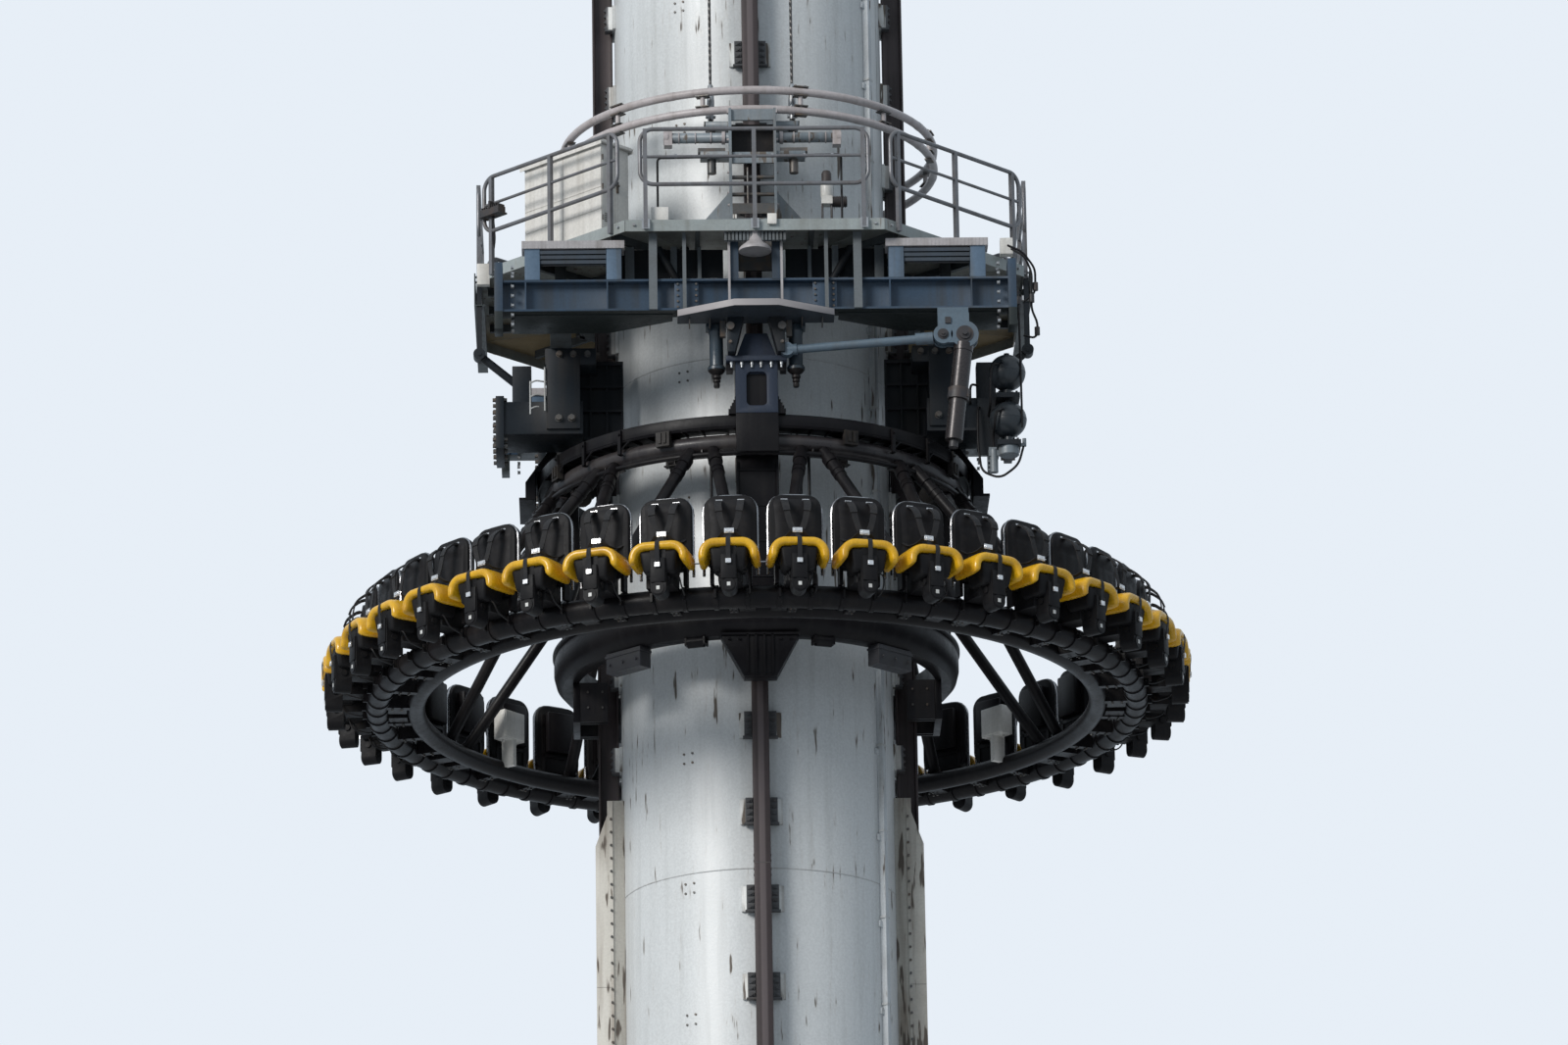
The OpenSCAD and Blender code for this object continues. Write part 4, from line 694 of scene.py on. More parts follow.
for x in (-0.85, -0.5, -0.15, 0.2, 0.55, 0.85):
    rod(clips, (x - 0.014, -2.80, deck_z + 0.733), (x + 0.014, -2.80, deck_z + 0.733), 0.027, 10)
piece("conduit_clips", clips, zinc, "catch_car")

# Greasing pump
# A small pump with a cream reservoir and a dark motor stands on a bracket at the right of the
# guide tower, and greases the front rail.
pump_x = 0.80
pump_y = -2.30
motor_z = deck_z + 0.37
pump = bmesh.new()
spun(pump, [(0.0, 0.0), (0.062, 0.0), (0.068, 0.012), (0.068, 0.15), (0.060, 0.17), (0.0, 0.17)],
     Matrix.Translation((pump_x, pump_y, deck_z + 0.42)), 20)
block(pump, (0.74, -2.37, deck_z + 0.33), (0.86, -2.24, deck_z + 0.42))
piece("pump_reservoir", pump, cabinet_white, "catch_car")
motor = bmesh.new()
spun(motor, [(0.0, 0.0), (0.055, 0.0), (0.055, 0.10), (0.04, 0.13), (0.0, 0.135)],
     Matrix.Translation((pump_x, pump_y, deck_z + 0.595)), 18)
rod(motor, (0.86, pump_y, motor_z), (1.02, pump_y, motor_z), 0.058, 16)
for rib in range(7):
    rod(motor, (0.875 + rib * 0.02, pump_y, motor_z), (0.883 + rib * 0.02, pump_y, motor_z), 0.066, 16)
for x in (0.75, 0.85):
    rod(motor, (x, -2.36, deck_z + 0.001), (x, -2.33, deck_z + 0.335), 0.011, 8)
    rod(motor, (x, -2.22, deck_z + 0.001), (x, -2.26, deck_z + 0.335), 0.011, 8)
block(motor, (0.72, -2.40, deck_z + 0.001), (0.88, -2.20, deck_z + 0.010))
piece("pump_motor", motor, clamp_dark, "catch_car")

# Hoop
# Two bent tubes run round the shaft above the railing on short spacers. They are pale, worn to
# a pinkish grey, with bolted plates at every joint.
hoop_pale = painted("hoop pale", (0.46, 0.42, 0.42), (0.26, 0.22, 0.20), 0.38, 3.0, 0.4, 0.4)
dress(hoop_pale, "tube_ring")
hoop_z = ring_z + 6.24
hoop_pitch = 0.225
plates = bmesh.new()
for count in range(12):
    place = turned(15 + count * 30)
    for level in (0.045, hoop_pitch - 0.057):
        block(plates, (-0.075, -2.13, hoop_z + level), (0.075, -2.03, hoop_z + level + 0.012), place)
    if count % 2 == 0:
        block(plates, (-0.085, -2.125, hoop_z + 0.268), (0.085, -2.035, hoop_z + 0.282), place)
        for across in (-0.055, 0.055):
            hex_bolt(plates, (across, -2.08, hoop_z + 0.282), (0, 0, 1), 0.026, place)
        block(plates, (-0.07, -2.12, hoop_z - 0.059), (0.07, -2.04, hoop_z - 0.045), place)
piece("hoop_plates", plates, steel_dark, "catch_car")
sleeves = bmesh.new()
for count in range(12):
    for level in (0.0, hoop_pitch):
        hoop(sleeves, 2.08, hoop_z + level, 0.0475, steps=3, sides=16, first=count * 30 + 3.5, sweep=2.4)
piece("hoop_sleeves", sleeves, hoop_pale, "catch_car")

# Main and side beams
# Two rolled beams run across, front and back, and two more along the sides, all painted blue
# grey, with bolted splices and end plates. Grey flats stand before the webs, near-black sheets and
# struts fill the gap up to the deck, partly dark framing and partly painted shade, and a
# bell-mouthed hood hangs in the middle.
frame_blue = painted("frame blue paint", (0.036, 0.062, 0.098), (0.036, 0.040, 0.044), 0.40, 1.5, 0.5, 0.55,
                     shine=0.3)
# Below 23.355 m the blue is painted over in near black: painted shade along the lower part of the main beams.
tree = frame_blue.node_tree
level = lay(tree, "SeparateXYZ", {"Vector": surface_point(tree)}).outputs[2]
paint_over(tree, between(tree, level, 23.355, 23.357, 1.0, 0.0), (0.020, 0.025, 0.025, 1))
softened("main_beam_bars", "main_beams", frame_blue, "catch_car", 0.005, 2)
softened("side_beam_bars", "side_beams", under_dark, "catch_car", 0.005, 2)
main_z = ring_z + 4.085
tube_zinc = painted("dull grey flat", (0.130, 0.145, 0.155), (0.080, 0.078, 0.072), 0.45, 2.0, 0.5, 0.5,
                    shine=0.3)
# Near-black paint for the sheets, struts, webs and louvre backs that fill the gaps: partly dark framing,
# partly painted shade.
gap_shade_black = painted("inner frame and gap shade paint", (0.014, 0.016, 0.019), (0.030, 0.028, 0.026), 0.5, 2.0, 0.5, 0.3,
                    shine=0.15)
bolts = bmesh.new()
splices = bmesh.new()
flats = bmesh.new()
sheets = bmesh.new()
posts_blue = bmesh.new()
hoods = bmesh.new()
for hand in (-1, 1):
    for side in (-1, 1):
        for row in range(7):
            level = main_z - 0.505 + row * 0.109
            for across in (-0.105, 0.105):
                start = (side * 2.74, hand * 2.5 + across, level)
                hex_bolt(bolts, start, (side, 0, 0), 0.042)
                hex_bolt(bolts, (side * 2.65, hand * 2.5 + across, level), (-side, 0, 0), 0.042)
        for x in (0.645, 0.845):
            for row in range(5):
                start = (side * x, hand * 2.575, main_z - 0.31 + row * 0.065)
                hex_bolt(splices, start, (0, hand, 0), 0.026, washer=False)
        for x, wide in ((1.11, 0.045), (0.77, 0.020)):
            slab(flats, (side * x, hand * 2.646), (wide, 0.018), (main_z - 0.36, deck_z - 0.10))
        slab(sheets, (side * 1.235, hand * 2.14), (0.215, 0.006), (main_z - 0.02, deck_z - 0.118))
        slab(sheets, (side * 0.68, hand * 2.14), (0.34, 0.006), (main_z + 0.17, deck_z - 0.118))
        for x, wide in ((1.36, 0.05), (0.88, 0.035), (0.60, 0.020)):
            slab(flats, (side * x, hand * 2.20), (wide, 0.05), (main_z - 0.02, deck_z - 0.118))
        rod(sheets, (side * 1.05, hand * 2.30, deck_z - 0.15), (side * 0.80, hand * 2.30, main_z), 0.04, 10)
        slab(posts_blue, (side * 0.225, hand * 2.59), (0.043, 0.030), (main_z - 0.01, deck_z - 0.118))
        slab(hoods, (side * 0.285, hand * 2.65), (0.013, 0.010), (ring_z + 3.82, deck_z - 0.118))
    spun(hoods, [(0.0, -0.02), (0.10, -0.02), (0.10, -0.12), (0.118, -0.19), (0.165, -0.23), (0.178, -0.25),
                 (0.178, -0.275), (0.0, -0.275)], Matrix.Translation((0, hand * 2.66, ring_z + 4.65)), 32)
    for step in range(17):
        x = -0.320 + step * 0.040
        slab(flats, (x, hand * 2.735), (0.013, 0.020), (deck_z - 0.225, deck_z - 0.119))
    block(flats, (-0.335, hand * 2.705 - 0.012, deck_z - 0.220),
          (0.335, hand * 2.705 + 0.012, deck_z - 0.119))
piece("frame_bolts", bolts, zinc, "catch_car")
piece("splice_bolts", splices, steel_dark, "catch_car")
piece("beam_posts", posts_blue, frame_blue, "catch_car")
piece("beam_flats", flats, tube_zinc, "catch_car")
piece("inner_sheets", sheets, gap_shade_black, "catch_car")
slab_pale = painted("slab pale paint", (0.40, 0.38, 0.385), (0.22, 0.20, 0.19), 0.42, 3.0, 0.5, 0.6)
piece("front_hoods", hoods, slab_pale, "catch_car")

# Portals
# Four short frames on the main beams carry the deck. Each has two posts, a deep pale slab with a
# ribbed edge, and louvred slats behind.
portal_blue = painted("portal blue paint", (0.105, 0.160, 0.230), (0.075, 0.080, 0.082), 0.40, 1.8, 0.4, 0.5)
softened("portal_frames", "portals", portal_blue, "catch_car", 0.005, 2)
slabs = bmesh.new()
slats = bmesh.new()
backs = bmesh.new()
for hand in (-1, 1):
    for side in (-1, 1):
        place = Matrix.Translation((side * 1.975, hand * 2.51, main_z + 0.44)) @ turned(90 - hand * -90)
        block(slabs, (-0.557, -0.127, -0.086), (0.557, 0.127, 0.001), place)
        for rib in range(28):
            x = -0.540 + rib * 0.040
            bar(slabs, x, 0.004, (-0.1305, -0.1265), (-0.082, -0.004), place)
        block(backs, (-0.37, -0.066, -0.27), (0.37, -0.060, -0.088), place)
        for tier in range(3):
            level = -0.125 - tier * 0.052
            block(slats, (-0.358, -0.108 + tier * 0.012, level - 0.020),
                  (0.358, -0.078 + tier * 0.012, level + 0.020), place)
piece("portal_slabs", slabs, slab_pale, "catch_car")
slat_dark = painted("louvre paint", (0.050, 0.064, 0.082), (0.040, 0.040, 0.040), 0.42, 3.0, 0.5, 0.4,
                    shine=0.25)
piece("portal_slats", slats, slat_dark, "catch_car")
# The plates behind the slats take the near-black gap paint, as painted shade inside the louvres.
piece("portal_backs", backs, gap_shade_black, "catch_car")

# Lower frame
# Dark box legs stand on four short box beams, each with a thick bolted end plate. Their very dark
# paint is partly painted shade under the deck. At the front an upright box on the beam takes the
# stay that props the corner of the skirt. Ribbed webs close the gaps between the legs and the
# shaft, in near black that is partly painted shade.
# This paint is darker than the frame's own dark paint, as painted shade under the deck; hooks and accumulator
# brackets share it.
lower_frame_shade_dark = painted("lower frame paint darkened as shade", (0.013, 0.017, 0.022), (0.027, 0.025, 0.024), 0.42, 1.6, 0.5, 0.45,
                     shine=0.25)
softened("lower_legs", "lower_frame", lower_frame_shade_dark, "catch_car", 0.006, 2)
studs = bmesh.new()
stays = bmesh.new()
sheets = bmesh.new()
front_rows = (2.625, 2.700, 2.86, 3.01, 3.155)
back_rows = (2.705, 2.86, 3.01, 3.155)
for hand, face, rows in ((-1, 2.84, front_rows), (1, 2.40, back_rows)):
    for side in (-1, 1):
        for level in rows:
            for y in (-0.30, -0.10, 0.10, 0.30):
                start = Vector((side * face, hand + y, ring_z + level))
                hex_bolt(studs, start, (side, 0, 0), 0.046)
                if not 2.72 < level < 3.13:
                    hex_bolt(studs, start - Vector((side * 0.09, 0, 0)), (-side, 0, 0), 0.046)
        for x in (2.01, 2.15):
            hex_bolt(studs, (side * x, hand * 1.37, ring_z + 2.917), (0, hand, 0), 0.070)
        for x in (1.83, 1.985, 2.14):
            hex_bolt(studs, (side * x, hand * 1.365, ring_z + 3.658), (0, hand, 0), 0.062)
for hand in (-1, 1):
    for side in (-1, 1):
        slab(sheets, (side * 1.685, hand * 0.930), (0.245, 0.008), (ring_z + 2.745, ring_z + 3.712))
        for level in (2.80, 3.12, 3.40, 3.66):
            slab(sheets, (side * 1.685, hand * 0.965), (0.245, 0.040),
                 (ring_z + level - 0.012, ring_z + level + 0.012))
        for x in (1.455, 1.62, 1.80):
            slab(sheets, (side * x, hand * 0.960), (0.010, 0.035), (ring_z + 2.80, ring_z + 3.66))
for side in (-1, 1):
    rod(stays, (side * 3.02, -1.10, ring_z + 3.74), (side * 2.53, -0.97, ring_z + 3.37), 0.045, 18)
    rod(stays, (side * 3.02, -1.17, ring_z + 3.74), (side * 3.02, -1.03, ring_z + 3.74), 0.066, 20)
    rod(stays, (side * 3.02, -1.18, ring_z + 3.74), (side * 3.02, -1.02, ring_z + 3.74), 0.026, 12)
    bar(stays, side * 3.02, 0.028, (-1.14, -1.06), (ring_z + 3.72, ring_z + 4.56))
    bar(stays, side * 2.555, 0.06, (-1.03, -0.91), (ring_z + 3.30, ring_z + 3.44))
piece("leg_studs", studs, steel_dark, "catch_car")
piece("skirt_stays", stays, lower_frame_shade_dark, "catch_car")
piece("leg_webs", sheets, gap_shade_black, "catch_car")

# Service ladder
# Three bent rungs on a thin side rail stand out beside the left front leg. They are bent from
# thin steel rod and painted pale grey.
rungs = [[(-2.285, -1.30, ring_z + level), (-2.40, -1.33, ring_z + level + 0.01),
          (-2.46, -1.33, ring_z + level - 0.02)] for level in (3.06, 3.20, 3.36)]
rungs.append([(-2.46, -1.33, ring_z + 3.36), (-2.46, -1.33, ring_z + 2.98)])
rungs.append([(-2.30, -1.385, ring_z + 3.50), (-2.30, -1.385, ring_z + 3.00)])
bent_pipe("leg_rungs", rungs, 0.0095, weld_grey, "catch_car", 0.03)

# Side skirts
# A plate with a folded lip closes each side of the frame below the deck, on two brackets, in
# dark paint.
skirt_dark = painted("skirt paint", (0.060, 0.072, 0.074), (0.040, 0.037, 0.034), 0.45, 1.5, 0.5, 0.5)
softened("skirt_plates", "side_skirts", skirt_dark, "catch_car", 0.002, 1)

# Guide tower
# Two upright cheeks with cross plates guide the car on the front and back rails. Horizontal
# cylinders stand out on both sides, and the rope arms are bolted on top.
tower_grey = painted("guide tower paint", (0.20, 0.235, 0.26), (0.12, 0.115, 0.11), 0.40, 1.8, 0.5, 0.5,
                     rust=0.5)
softened("guide_cheeks", "guide_towers", tower_grey, "catch_car", 0.003, 1)
collars = bmesh.new()
dark_bits = bmesh.new()
for face in (0, 180):
    place = turned(face)
    for side in (-1, 1):
        for x, wide in ((0.30, 0.035), (0.45, 0.012), (0.62, 0.012), (0.80, 0.012), (0.925, 0.05)):
            rod(collars, (side * x, -2.09, ring_z + 5.9), (side * (x + wide), -2.09, ring_z + 5.9),
                0.072 if wide > 0.02 else 0.066, 20, place)
        bar(collars, side * 0.925, 0.045, (-2.15, -2.03), (ring_z + 5.80, ring_z + 5.99), place)
        for row in range(6):
            hex_bolt(collars, (side * 0.26, -2.03 - (row % 2) * 0.14, ring_z + 4.9 + row * 0.19),
                     (side, 0, 0), 0.030, place)
        bar(dark_bits, side * 0.45, 0.15, (-2.20, -2.0), (ring_z + 5.700, ring_z + 5.745), place)
        rod(dark_bits, (side * 0.45, -2.10, ring_z + 5.48), (side * 0.45, -2.10, ring_z + 5.64), 0.05, 12,
            place)
        rod(dark_bits, (side * 0.45, -1.85, ring_z + 6.045), (side * 0.45, -1.85, ring_z + 6.175), 0.048, 14,
            place)
        bar(dark_bits, side * 0.45, 0.075, (-1.925, -1.775), (ring_z + 6.14, ring_z + 6.158), place)
    for level in (5.2, 5.4):
        rod(dark_bits, (-0.23, -2.20, ring_z + level), (0.23, -2.20, ring_z + level), 0.022, 12, place)
    block(dark_bits, (-0.229, -2.255, ring_z + 4.96), (0.229, -2.235, ring_z + 5.08), place)
    rod(dark_bits, (-0.06, -2.235, ring_z + 5.0), (-0.06, -2.235, ring_z + 5.5), 0.012, 8, place)
    block(dark_bits, (-0.225, -2.12, ring_z + 4.35), (0.225, -2.08, ring_z + 4.78), place)
piece("guide_collars", collars, hoop_pale, "catch_car")
piece("guide_fittings", dark_bits, steel_dark, "catch_car")
roller_dark = painted("roller tyre", (0.018, 0.016, 0.016), (0.050, 0.042, 0.036), 0.38, 8.0, 0.5, 0.0,
                      shine=0.15)
dress(roller_dark, "catch_rollers", "guide_rollers")

# Visor and hooks
# A bent plate with pale edges roofs the head of each main column, and two cheeks below it catch
# the head when the gondola is picked up.
visor_grey = painted("visor paint", (0.040, 0.050, 0.064), (0.036, 0.036, 0.037), 0.42, 2.0, 0.5, 0.3,
                     shine=0.25)
tree = visor_grey.node_tree
facing = lay(tree, "SeparateXYZ", {"Vector": lay(tree, "NewGeometry", {}).outputs["Normal"]}).outputs[2]
rim = between(tree, times(tree, facing, 0.0, "ABSOLUTE"), 0.30, 0.45, 1.0, 0.0)
paint_over(tree, rim, (0.34, 0.32, 0.325, 1))
softened("visor_plates", "visors", visor_grey, "catch_car", 0.003, 1)
softened("hook_cheeks", "hooks", lower_frame_shade_dark, "catch_car", 0.005, 2)
catch = bmesh.new()
for face in (0, 180):
    place = turned(face)
    for side in (-1, 1):
        rod(catch, (side * 0.28, -2.62, ring_z + 3.53), (side * 0.28, -2.665, ring_z + 3.53), 0.045, 16,
            place)
        hex_bolt(catch, (side * 0.28, -2.61, ring_z + 3.36), (0, -1, 0), 0.035, place)
        bar(catch, side * 0.36, 0.03, (-2.50, -2.43), (ring_z + 3.46, ring_z + 3.642), place)
    for side in (-0.72, -0.5, 0.5, 0.72):
        bar(catch, side, 0.007, (-2.60, -2.42), (ring_z + 3.575, ring_z + 3.6445), place)
piece("hook_fittings", catch, steel_dark, "catch_car")

# Buffers
# Four hydraulic buffers hang beside the column heads, each a turned cylinder with a collar, and
# a stepped rubber tip of rings below.
buffer_blue = painted("buffer paint", (0.028, 0.044, 0.060), (0.050, 0.050, 0.048), 0.30, 4.0, 0.4, 0.3)
tips = bmesh.new()
bodies = bmesh.new()
for face in (0, 180):
    for side in (-1, 1):
        place = turned(face) @ Matrix.Translation((side * 0.43, -2.33, ring_z + 2.93))
        spun(bodies, [(0.0, 0.195), (0.098, 0.195), (0.098, 0.225), (0.075, 0.240), (0.075, 0.60),
                      (0.082, 0.61), (0.082, 0.655), (0.0, 0.655)], place, 28)
        spun(bodies, [(0.0, 0.64), (0.10, 0.64), (0.10, 0.69), (0.0, 0.69)], place, 24)
        block(bodies, (-0.11, -0.05, 0.688), (0.11, 0.17, 0.793), place)
        spun(tips, [(0.0, 0.0), (0.028, 0.0), (0.034, 0.012), (0.034, 0.045), (0.024, 0.055), (0.040, 0.062),
                    (0.040, 0.085), (0.028, 0.095), (0.048, 0.104), (0.048, 0.130), (0.036, 0.140),
                    (0.072, 0.165), (0.088, 0.185), (0.088, 0.200), (0.0, 0.200)], place, 20)
        for count in range(6):
            spoke = place @ turned(count * 60) @ Matrix.Translation((0, -0.087, 0.225))
            hex_bolt(tips, (0, 0, 0), (0, 0, 1), 0.018, spoke)
piece("buffer_bodies", bodies, buffer_blue, "catch_car", "buffers")
piece("buffer_tips", tips, roller_dark, "catch_car")

# Release linkage
# A hydraulic arm on the right lifts a crank, and its long rod opens the hook at the front. The
# arm is a bronze-brown cylinder with bright edges and a dark clevis half-way down.
link_blue = painted("linkage paint", (0.095, 0.135, 0.172), (0.070, 0.072, 0.072), 0.36, 4.0, 0.35, 0.3)
crank = bmesh.new()
rod(crank, (0.32, -2.52, ring_z + 3.29), (1.75, -2.674, ring_z + 3.35), 0.048, 20)
rod(crank, (1.72, -2.671, ring_z + 3.349), (1.91, -2.691, ring_z + 3.357), 0.066, 20)
rod(crank, (0.30, -2.518, ring_z + 3.289), (0.44, -2.533, ring_z + 3.295), 0.062, 20)
rod(crank, (0.33, -2.58, ring_z + 3.29), (0.33, -2.46, ring_z + 3.29), 0.075, 20)
for y, top in ((-2.758, 3.624), (-2.642, 3.724)):
    for x, r in ((2.015, 0.105), (2.25, 0.150)):
        rod(crank, (x, y, ring_z + 3.38), (x, y + 0.056, ring_z + 3.38), r, 36)
    block(crank, (2.015, y + 0.002, ring_z + 3.285), (2.25, y + 0.054, ring_z + 3.525))
    block(crank, (1.965, y + 0.004, ring_z + 3.40), (2.30, y + 0.052, ring_z + top))
piece("linkage_crank", crank, link_blue, "catch_car", "release_linkage")
pins = bmesh.new()
for x, r in ((2.015, 0.040), (2.25, 0.062)):
    rod(pins, (x, -2.785, ring_z + 3.38), (x, -2.552, ring_z + 3.38), r, 24)
    hex_bolt(pins, (x, -2.775, ring_z + 3.38), (0, -1, 0), r * 0.9)
    rod(pins, (x, -2.766, ring_z + 3.38), (x, -2.757, ring_z + 3.38), r * 1.5, 28)
block(pins, (2.04, -2.775, ring_z + 3.50), (2.10, -2.755, ring_z + 3.57))
rod(pins, (2.176, -2.6955, ring_z + 2.768), (2.161, -2.7007, ring_z + 2.642), 0.118, 28)
block(pins, (2.06, -2.775, ring_z + 2.662), (2.275, -2.60, ring_z + 2.748))
rod(pins, (2.168, -2.79, ring_z + 2.705), (2.168, -2.59, ring_z + 2.705), 0.045, 16)
rod(pins, (2.107, -2.719, ring_z + 2.19), (2.098, -2.722, ring_z + 2.10), 0.05, 16)
piece("linkage_pins", pins, clamp_dark, "catch_car")
arm_brown = painted("arm cylinder", (0.034, 0.029, 0.029), (0.030, 0.026, 0.025), 0.26, 3.0, 0.3, 0.2,
                    metal=0.4, grain=0.0003, shine=0.5)
arm = bmesh.new()
rod(arm, (2.237, -2.6746, ring_z + 3.27), (2.173, -2.6967, ring_z + 2.74), 0.100, 36)
rod(arm, (2.2385, -2.674, ring_z + 3.285), (2.228, -2.6775, ring_z + 3.20), 0.108, 36)
rod(arm, (2.163, -2.70, ring_z + 2.66), (2.105, -2.72, ring_z + 2.18), 0.096, 36)
piece("linkage_arm", arm, arm_brown, "catch_car")

# Accumulators
# Two forged spheres for the hydraulic oil sit one above the other on a bracket plate at the right
# front, with straps, valve stems and a filter can. A bent steel pipe loops down below them.
sphere_grey = painted("sphere paint", (0.024, 0.031, 0.038), (0.032, 0.032, 0.033), 0.34, 3.0, 0.4, 0.2)
balls = bmesh.new()
straps = bmesh.new()
center = Vector((2.76, -1.57, ring_z))
for level in (3.326, 2.786):
    place = Matrix.Translation(center + Vector((0, 0, level)))
    bmesh.ops.create_uvsphere(balls, u_segments=40, v_segments=24, radius=0.2035, matrix=place)
    spun(balls, [(0.2035, -0.012), (0.2050, -0.010), (0.2050, 0.010), (0.2035, 0.012)], place, 40)
    spun(balls, [(0.0, -0.265), (0.045, -0.265), (0.045, -0.19), (0.0, -0.19)], place, 20)
    rod(straps, (0, 0, 0.195), (0, 0, 0.222), 0.034, 6, place)
    rod(straps, (-0.055, -0.175, 0.06), (-0.075, -0.207, 0.072), 0.017, 10, place)
    block(straps, (-0.13, -0.125, -0.315), (0.13, 0.202, -0.26), place)
    block(straps, (-0.13, 0.20, -0.315), (-0.016, 0.239, -0.26), place)
    block(straps, (-0.045, 0.10, -0.045), (0.03, 0.202, 0.045), place)
    block(straps, (-0.045, 0.20, -0.045), (-0.016, 0.239, 0.045), place)
    for across in (-0.095, 0.095):
        hex_bolt(straps, (across, -0.095, -0.26), (0, 0, 1), 0.030, place)
block(straps, (2.44, -1.3549, ring_z + 2.461), (2.7449, -1.3305, ring_z + 3.110))
block(straps, (2.685, -1.3549, ring_z + 3.108), (2.7449, -1.3305, ring_z + 3.551))
piece("accumulator_spheres", balls, sphere_grey, "catch_car", "accumulators")
piece("accumulator_brackets", straps, lower_frame_shade_dark, "catch_car")
can = bmesh.new()
spun(can, [(0.0, -0.105), (0.10, -0.105), (0.112, -0.095), (0.112, -0.005), (0.0, -0.005)],
     Matrix.Translation(center + Vector((0, 0, 2.476))), 28)
rod(can, (2.60, -1.47, ring_z + 2.216), (2.60, -1.47, ring_z + 2.476), 0.045, 12)
block(can, (2.545, -1.50, ring_z + 2.40), (2.655, -1.3549, ring_z + 2.50))
for row in range(3):
    rod(can, (2.60, -1.47, ring_z + 2.246 + row * 0.05), (2.53, -1.47, ring_z + 2.246 + row * 0.05), 0.014, 8)
rod(can, (2.93, -1.60, ring_z + 2.50), (2.93, -1.60, ring_z + 2.56), 0.022, 10)
block(can, (2.87, -1.62, ring_z + 2.473), (2.95, -1.58, ring_z + 2.505))
piece("filter_can", can, tower_grey, "catch_car")
bent_pipe("hydraulic_pipes", [
    [(2.685, -1.74, ring_z + 3.376), (2.58, -1.80, ring_z + 3.356), (2.56, -1.76, ring_z + 2.906),
     (2.56, -1.44, ring_z + 2.906), (2.56, -1.354, ring_z + 2.906)],
    [(2.685, -1.74, ring_z + 2.836), (2.62, -1.80, ring_z + 2.816), (2.60, -1.74, ring_z + 2.656),
     (2.60, -1.50, ring_z + 2.636), (2.60, -1.47, ring_z + 2.456)],
    [(2.45, -1.36, ring_z + 3.256), (2.36, -1.42, ring_z + 3.256), (2.36, -1.42, ring_z + 3.056),
     (2.36, -1.33, ring_z + 3.056)],
    [(2.46, -1.36, ring_z + 3.00), (2.44, -1.42, ring_z + 2.98), (2.43, -1.46, ring_z + 2.55),
     (2.46, -1.50, ring_z + 2.22), (2.66, -1.56, ring_z + 2.12), (2.86, -1.60, ring_z + 2.26),
     (2.93, -1.60, ring_z + 2.51)]],
    0.0135, hose_black, "catch_car", 0.09)

# Lift ropes
# Four steel wire ropes, 34 mm thick, run taut from the head to the arms of the guide towers.
# Their strands are laid round in a long twist and shine dull with grease.
rope_steel = painted("greased wire rope", (0.075, 0.072, 0.070), (0.030, 0.026, 0.024), 0.38, 12.0, 0.5, 0.2,
                     metal=0.7)
ropes = bmesh.new()
rope_top = 35.565
rope_steps = 164
lay_length = (rope_top - ring_z - 6.13) / rope_steps
for x in (-0.45, 0.45):
    for y in (-1.85, 1.85):
        made = bmesh.ops.create_circle(ropes, segments=12, radius=0.0167,
                                       matrix=Matrix.Translation((x, y, rope_top)))["verts"]
        for vert in made[::2]:
            vert.co = Vector((x, y, rope_top)).lerp(vert.co, 0.83)
        bmesh.ops.spin(ropes, geom=made + edges_of(made), cent=(x, y, 0), axis=(0, 0, 1),
                       dvec=(0, 0, -lay_length), angle=0.8 * rope_steps, steps=rope_steps)
bmesh.ops.holes_fill(ropes, edges=[line for line in ropes.edges if line.is_boundary], sides=12)
lines = piece("wire_ropes", ropes, rope_steel, None, "lift_ropes", edge=60)
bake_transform(lines)
sockets = bmesh.new()
for x in (-0.45, 0.45):
    for y in (-1.85, 1.85):
        place = Matrix.Translation((x, y, ring_z))
        spun(sockets, [(0.0168, 6.62), (0.030, 6.60), (0.042, 6.42), (0.042, 6.30), (0.034, 6.27),
                       (0.034, 6.20), (0.0168, 6.20)], place, 18)
        rod(sockets, (-0.055, 0, 6.235), (0.055, 0, 6.235), 0.018, 12, place)
piece("rope_sockets", sockets, zinc, "catch_car")

# Columns
# Four box columns carry the gondola, nearly black. Those at the front and back end below in a
# ribbed keel, and those at the sides reach down beside the brake fins.
black_paint = painted("gondola black paint", (0.0075, 0.0068, 0.0080), (0.018, 0.017, 0.017), 0.36, 1.6, 0.5,
                      0.45, shine=0.13)
for side in ("front", "back", "left", "right"):
    softened("column_" + side + "_shell", "column_" + side, black_paint, "carriage", 0.005, 2)
ribs = bmesh.new()
keel_low = ring_z - 0.28
for face in (0, 180):
    place = turned(face)
    for x in (-0.135, -0.045, 0.045, 0.135):
        bar(ribs, x, 0.011, (-2.200, -2.178), (keel_low + 0.02, ring_z + 0.19), place)
    block(ribs, (-0.43, -2.20, ring_z + 0.18), (0.43, -2.178, ring_z + 0.205), place)
    block(ribs, (-0.175, -2.195, keel_low - 0.001), (0.175, -2.178, keel_low + 0.02), place)
    for x in (-0.33, -0.22, 0.22, 0.33):
        hex_bolt(ribs, (x, -2.18, ring_z + 0.14), (0, -1, 0), 0.030, place)
    for x in (-0.215, 0.215):
        bar(ribs, x, 0.010, (-2.140, -2.123), (ring_z + 0.62, ring_z + 2.16), place)
    for level in (0.85, 1.25, 1.65, 2.05):
        block(ribs, (-0.205, -2.136, ring_z + level), (0.205, -2.121, ring_z + level + 0.016), place)
for face in (90, 270):
    place = turned(face)
    for x in (-0.33, 0.33):
        bar(ribs, x, 0.010, (-2.139, -2.098), (ring_z + 0.62, ring_z + 2.40), place)
    for level in (0.95, 1.5, 2.05):
        block(ribs, (-0.32, -2.133, ring_z + level), (0.32, -2.103, ring_z + level + 0.016), place)
piece("column_ribs", ribs, black_paint, "carriage")

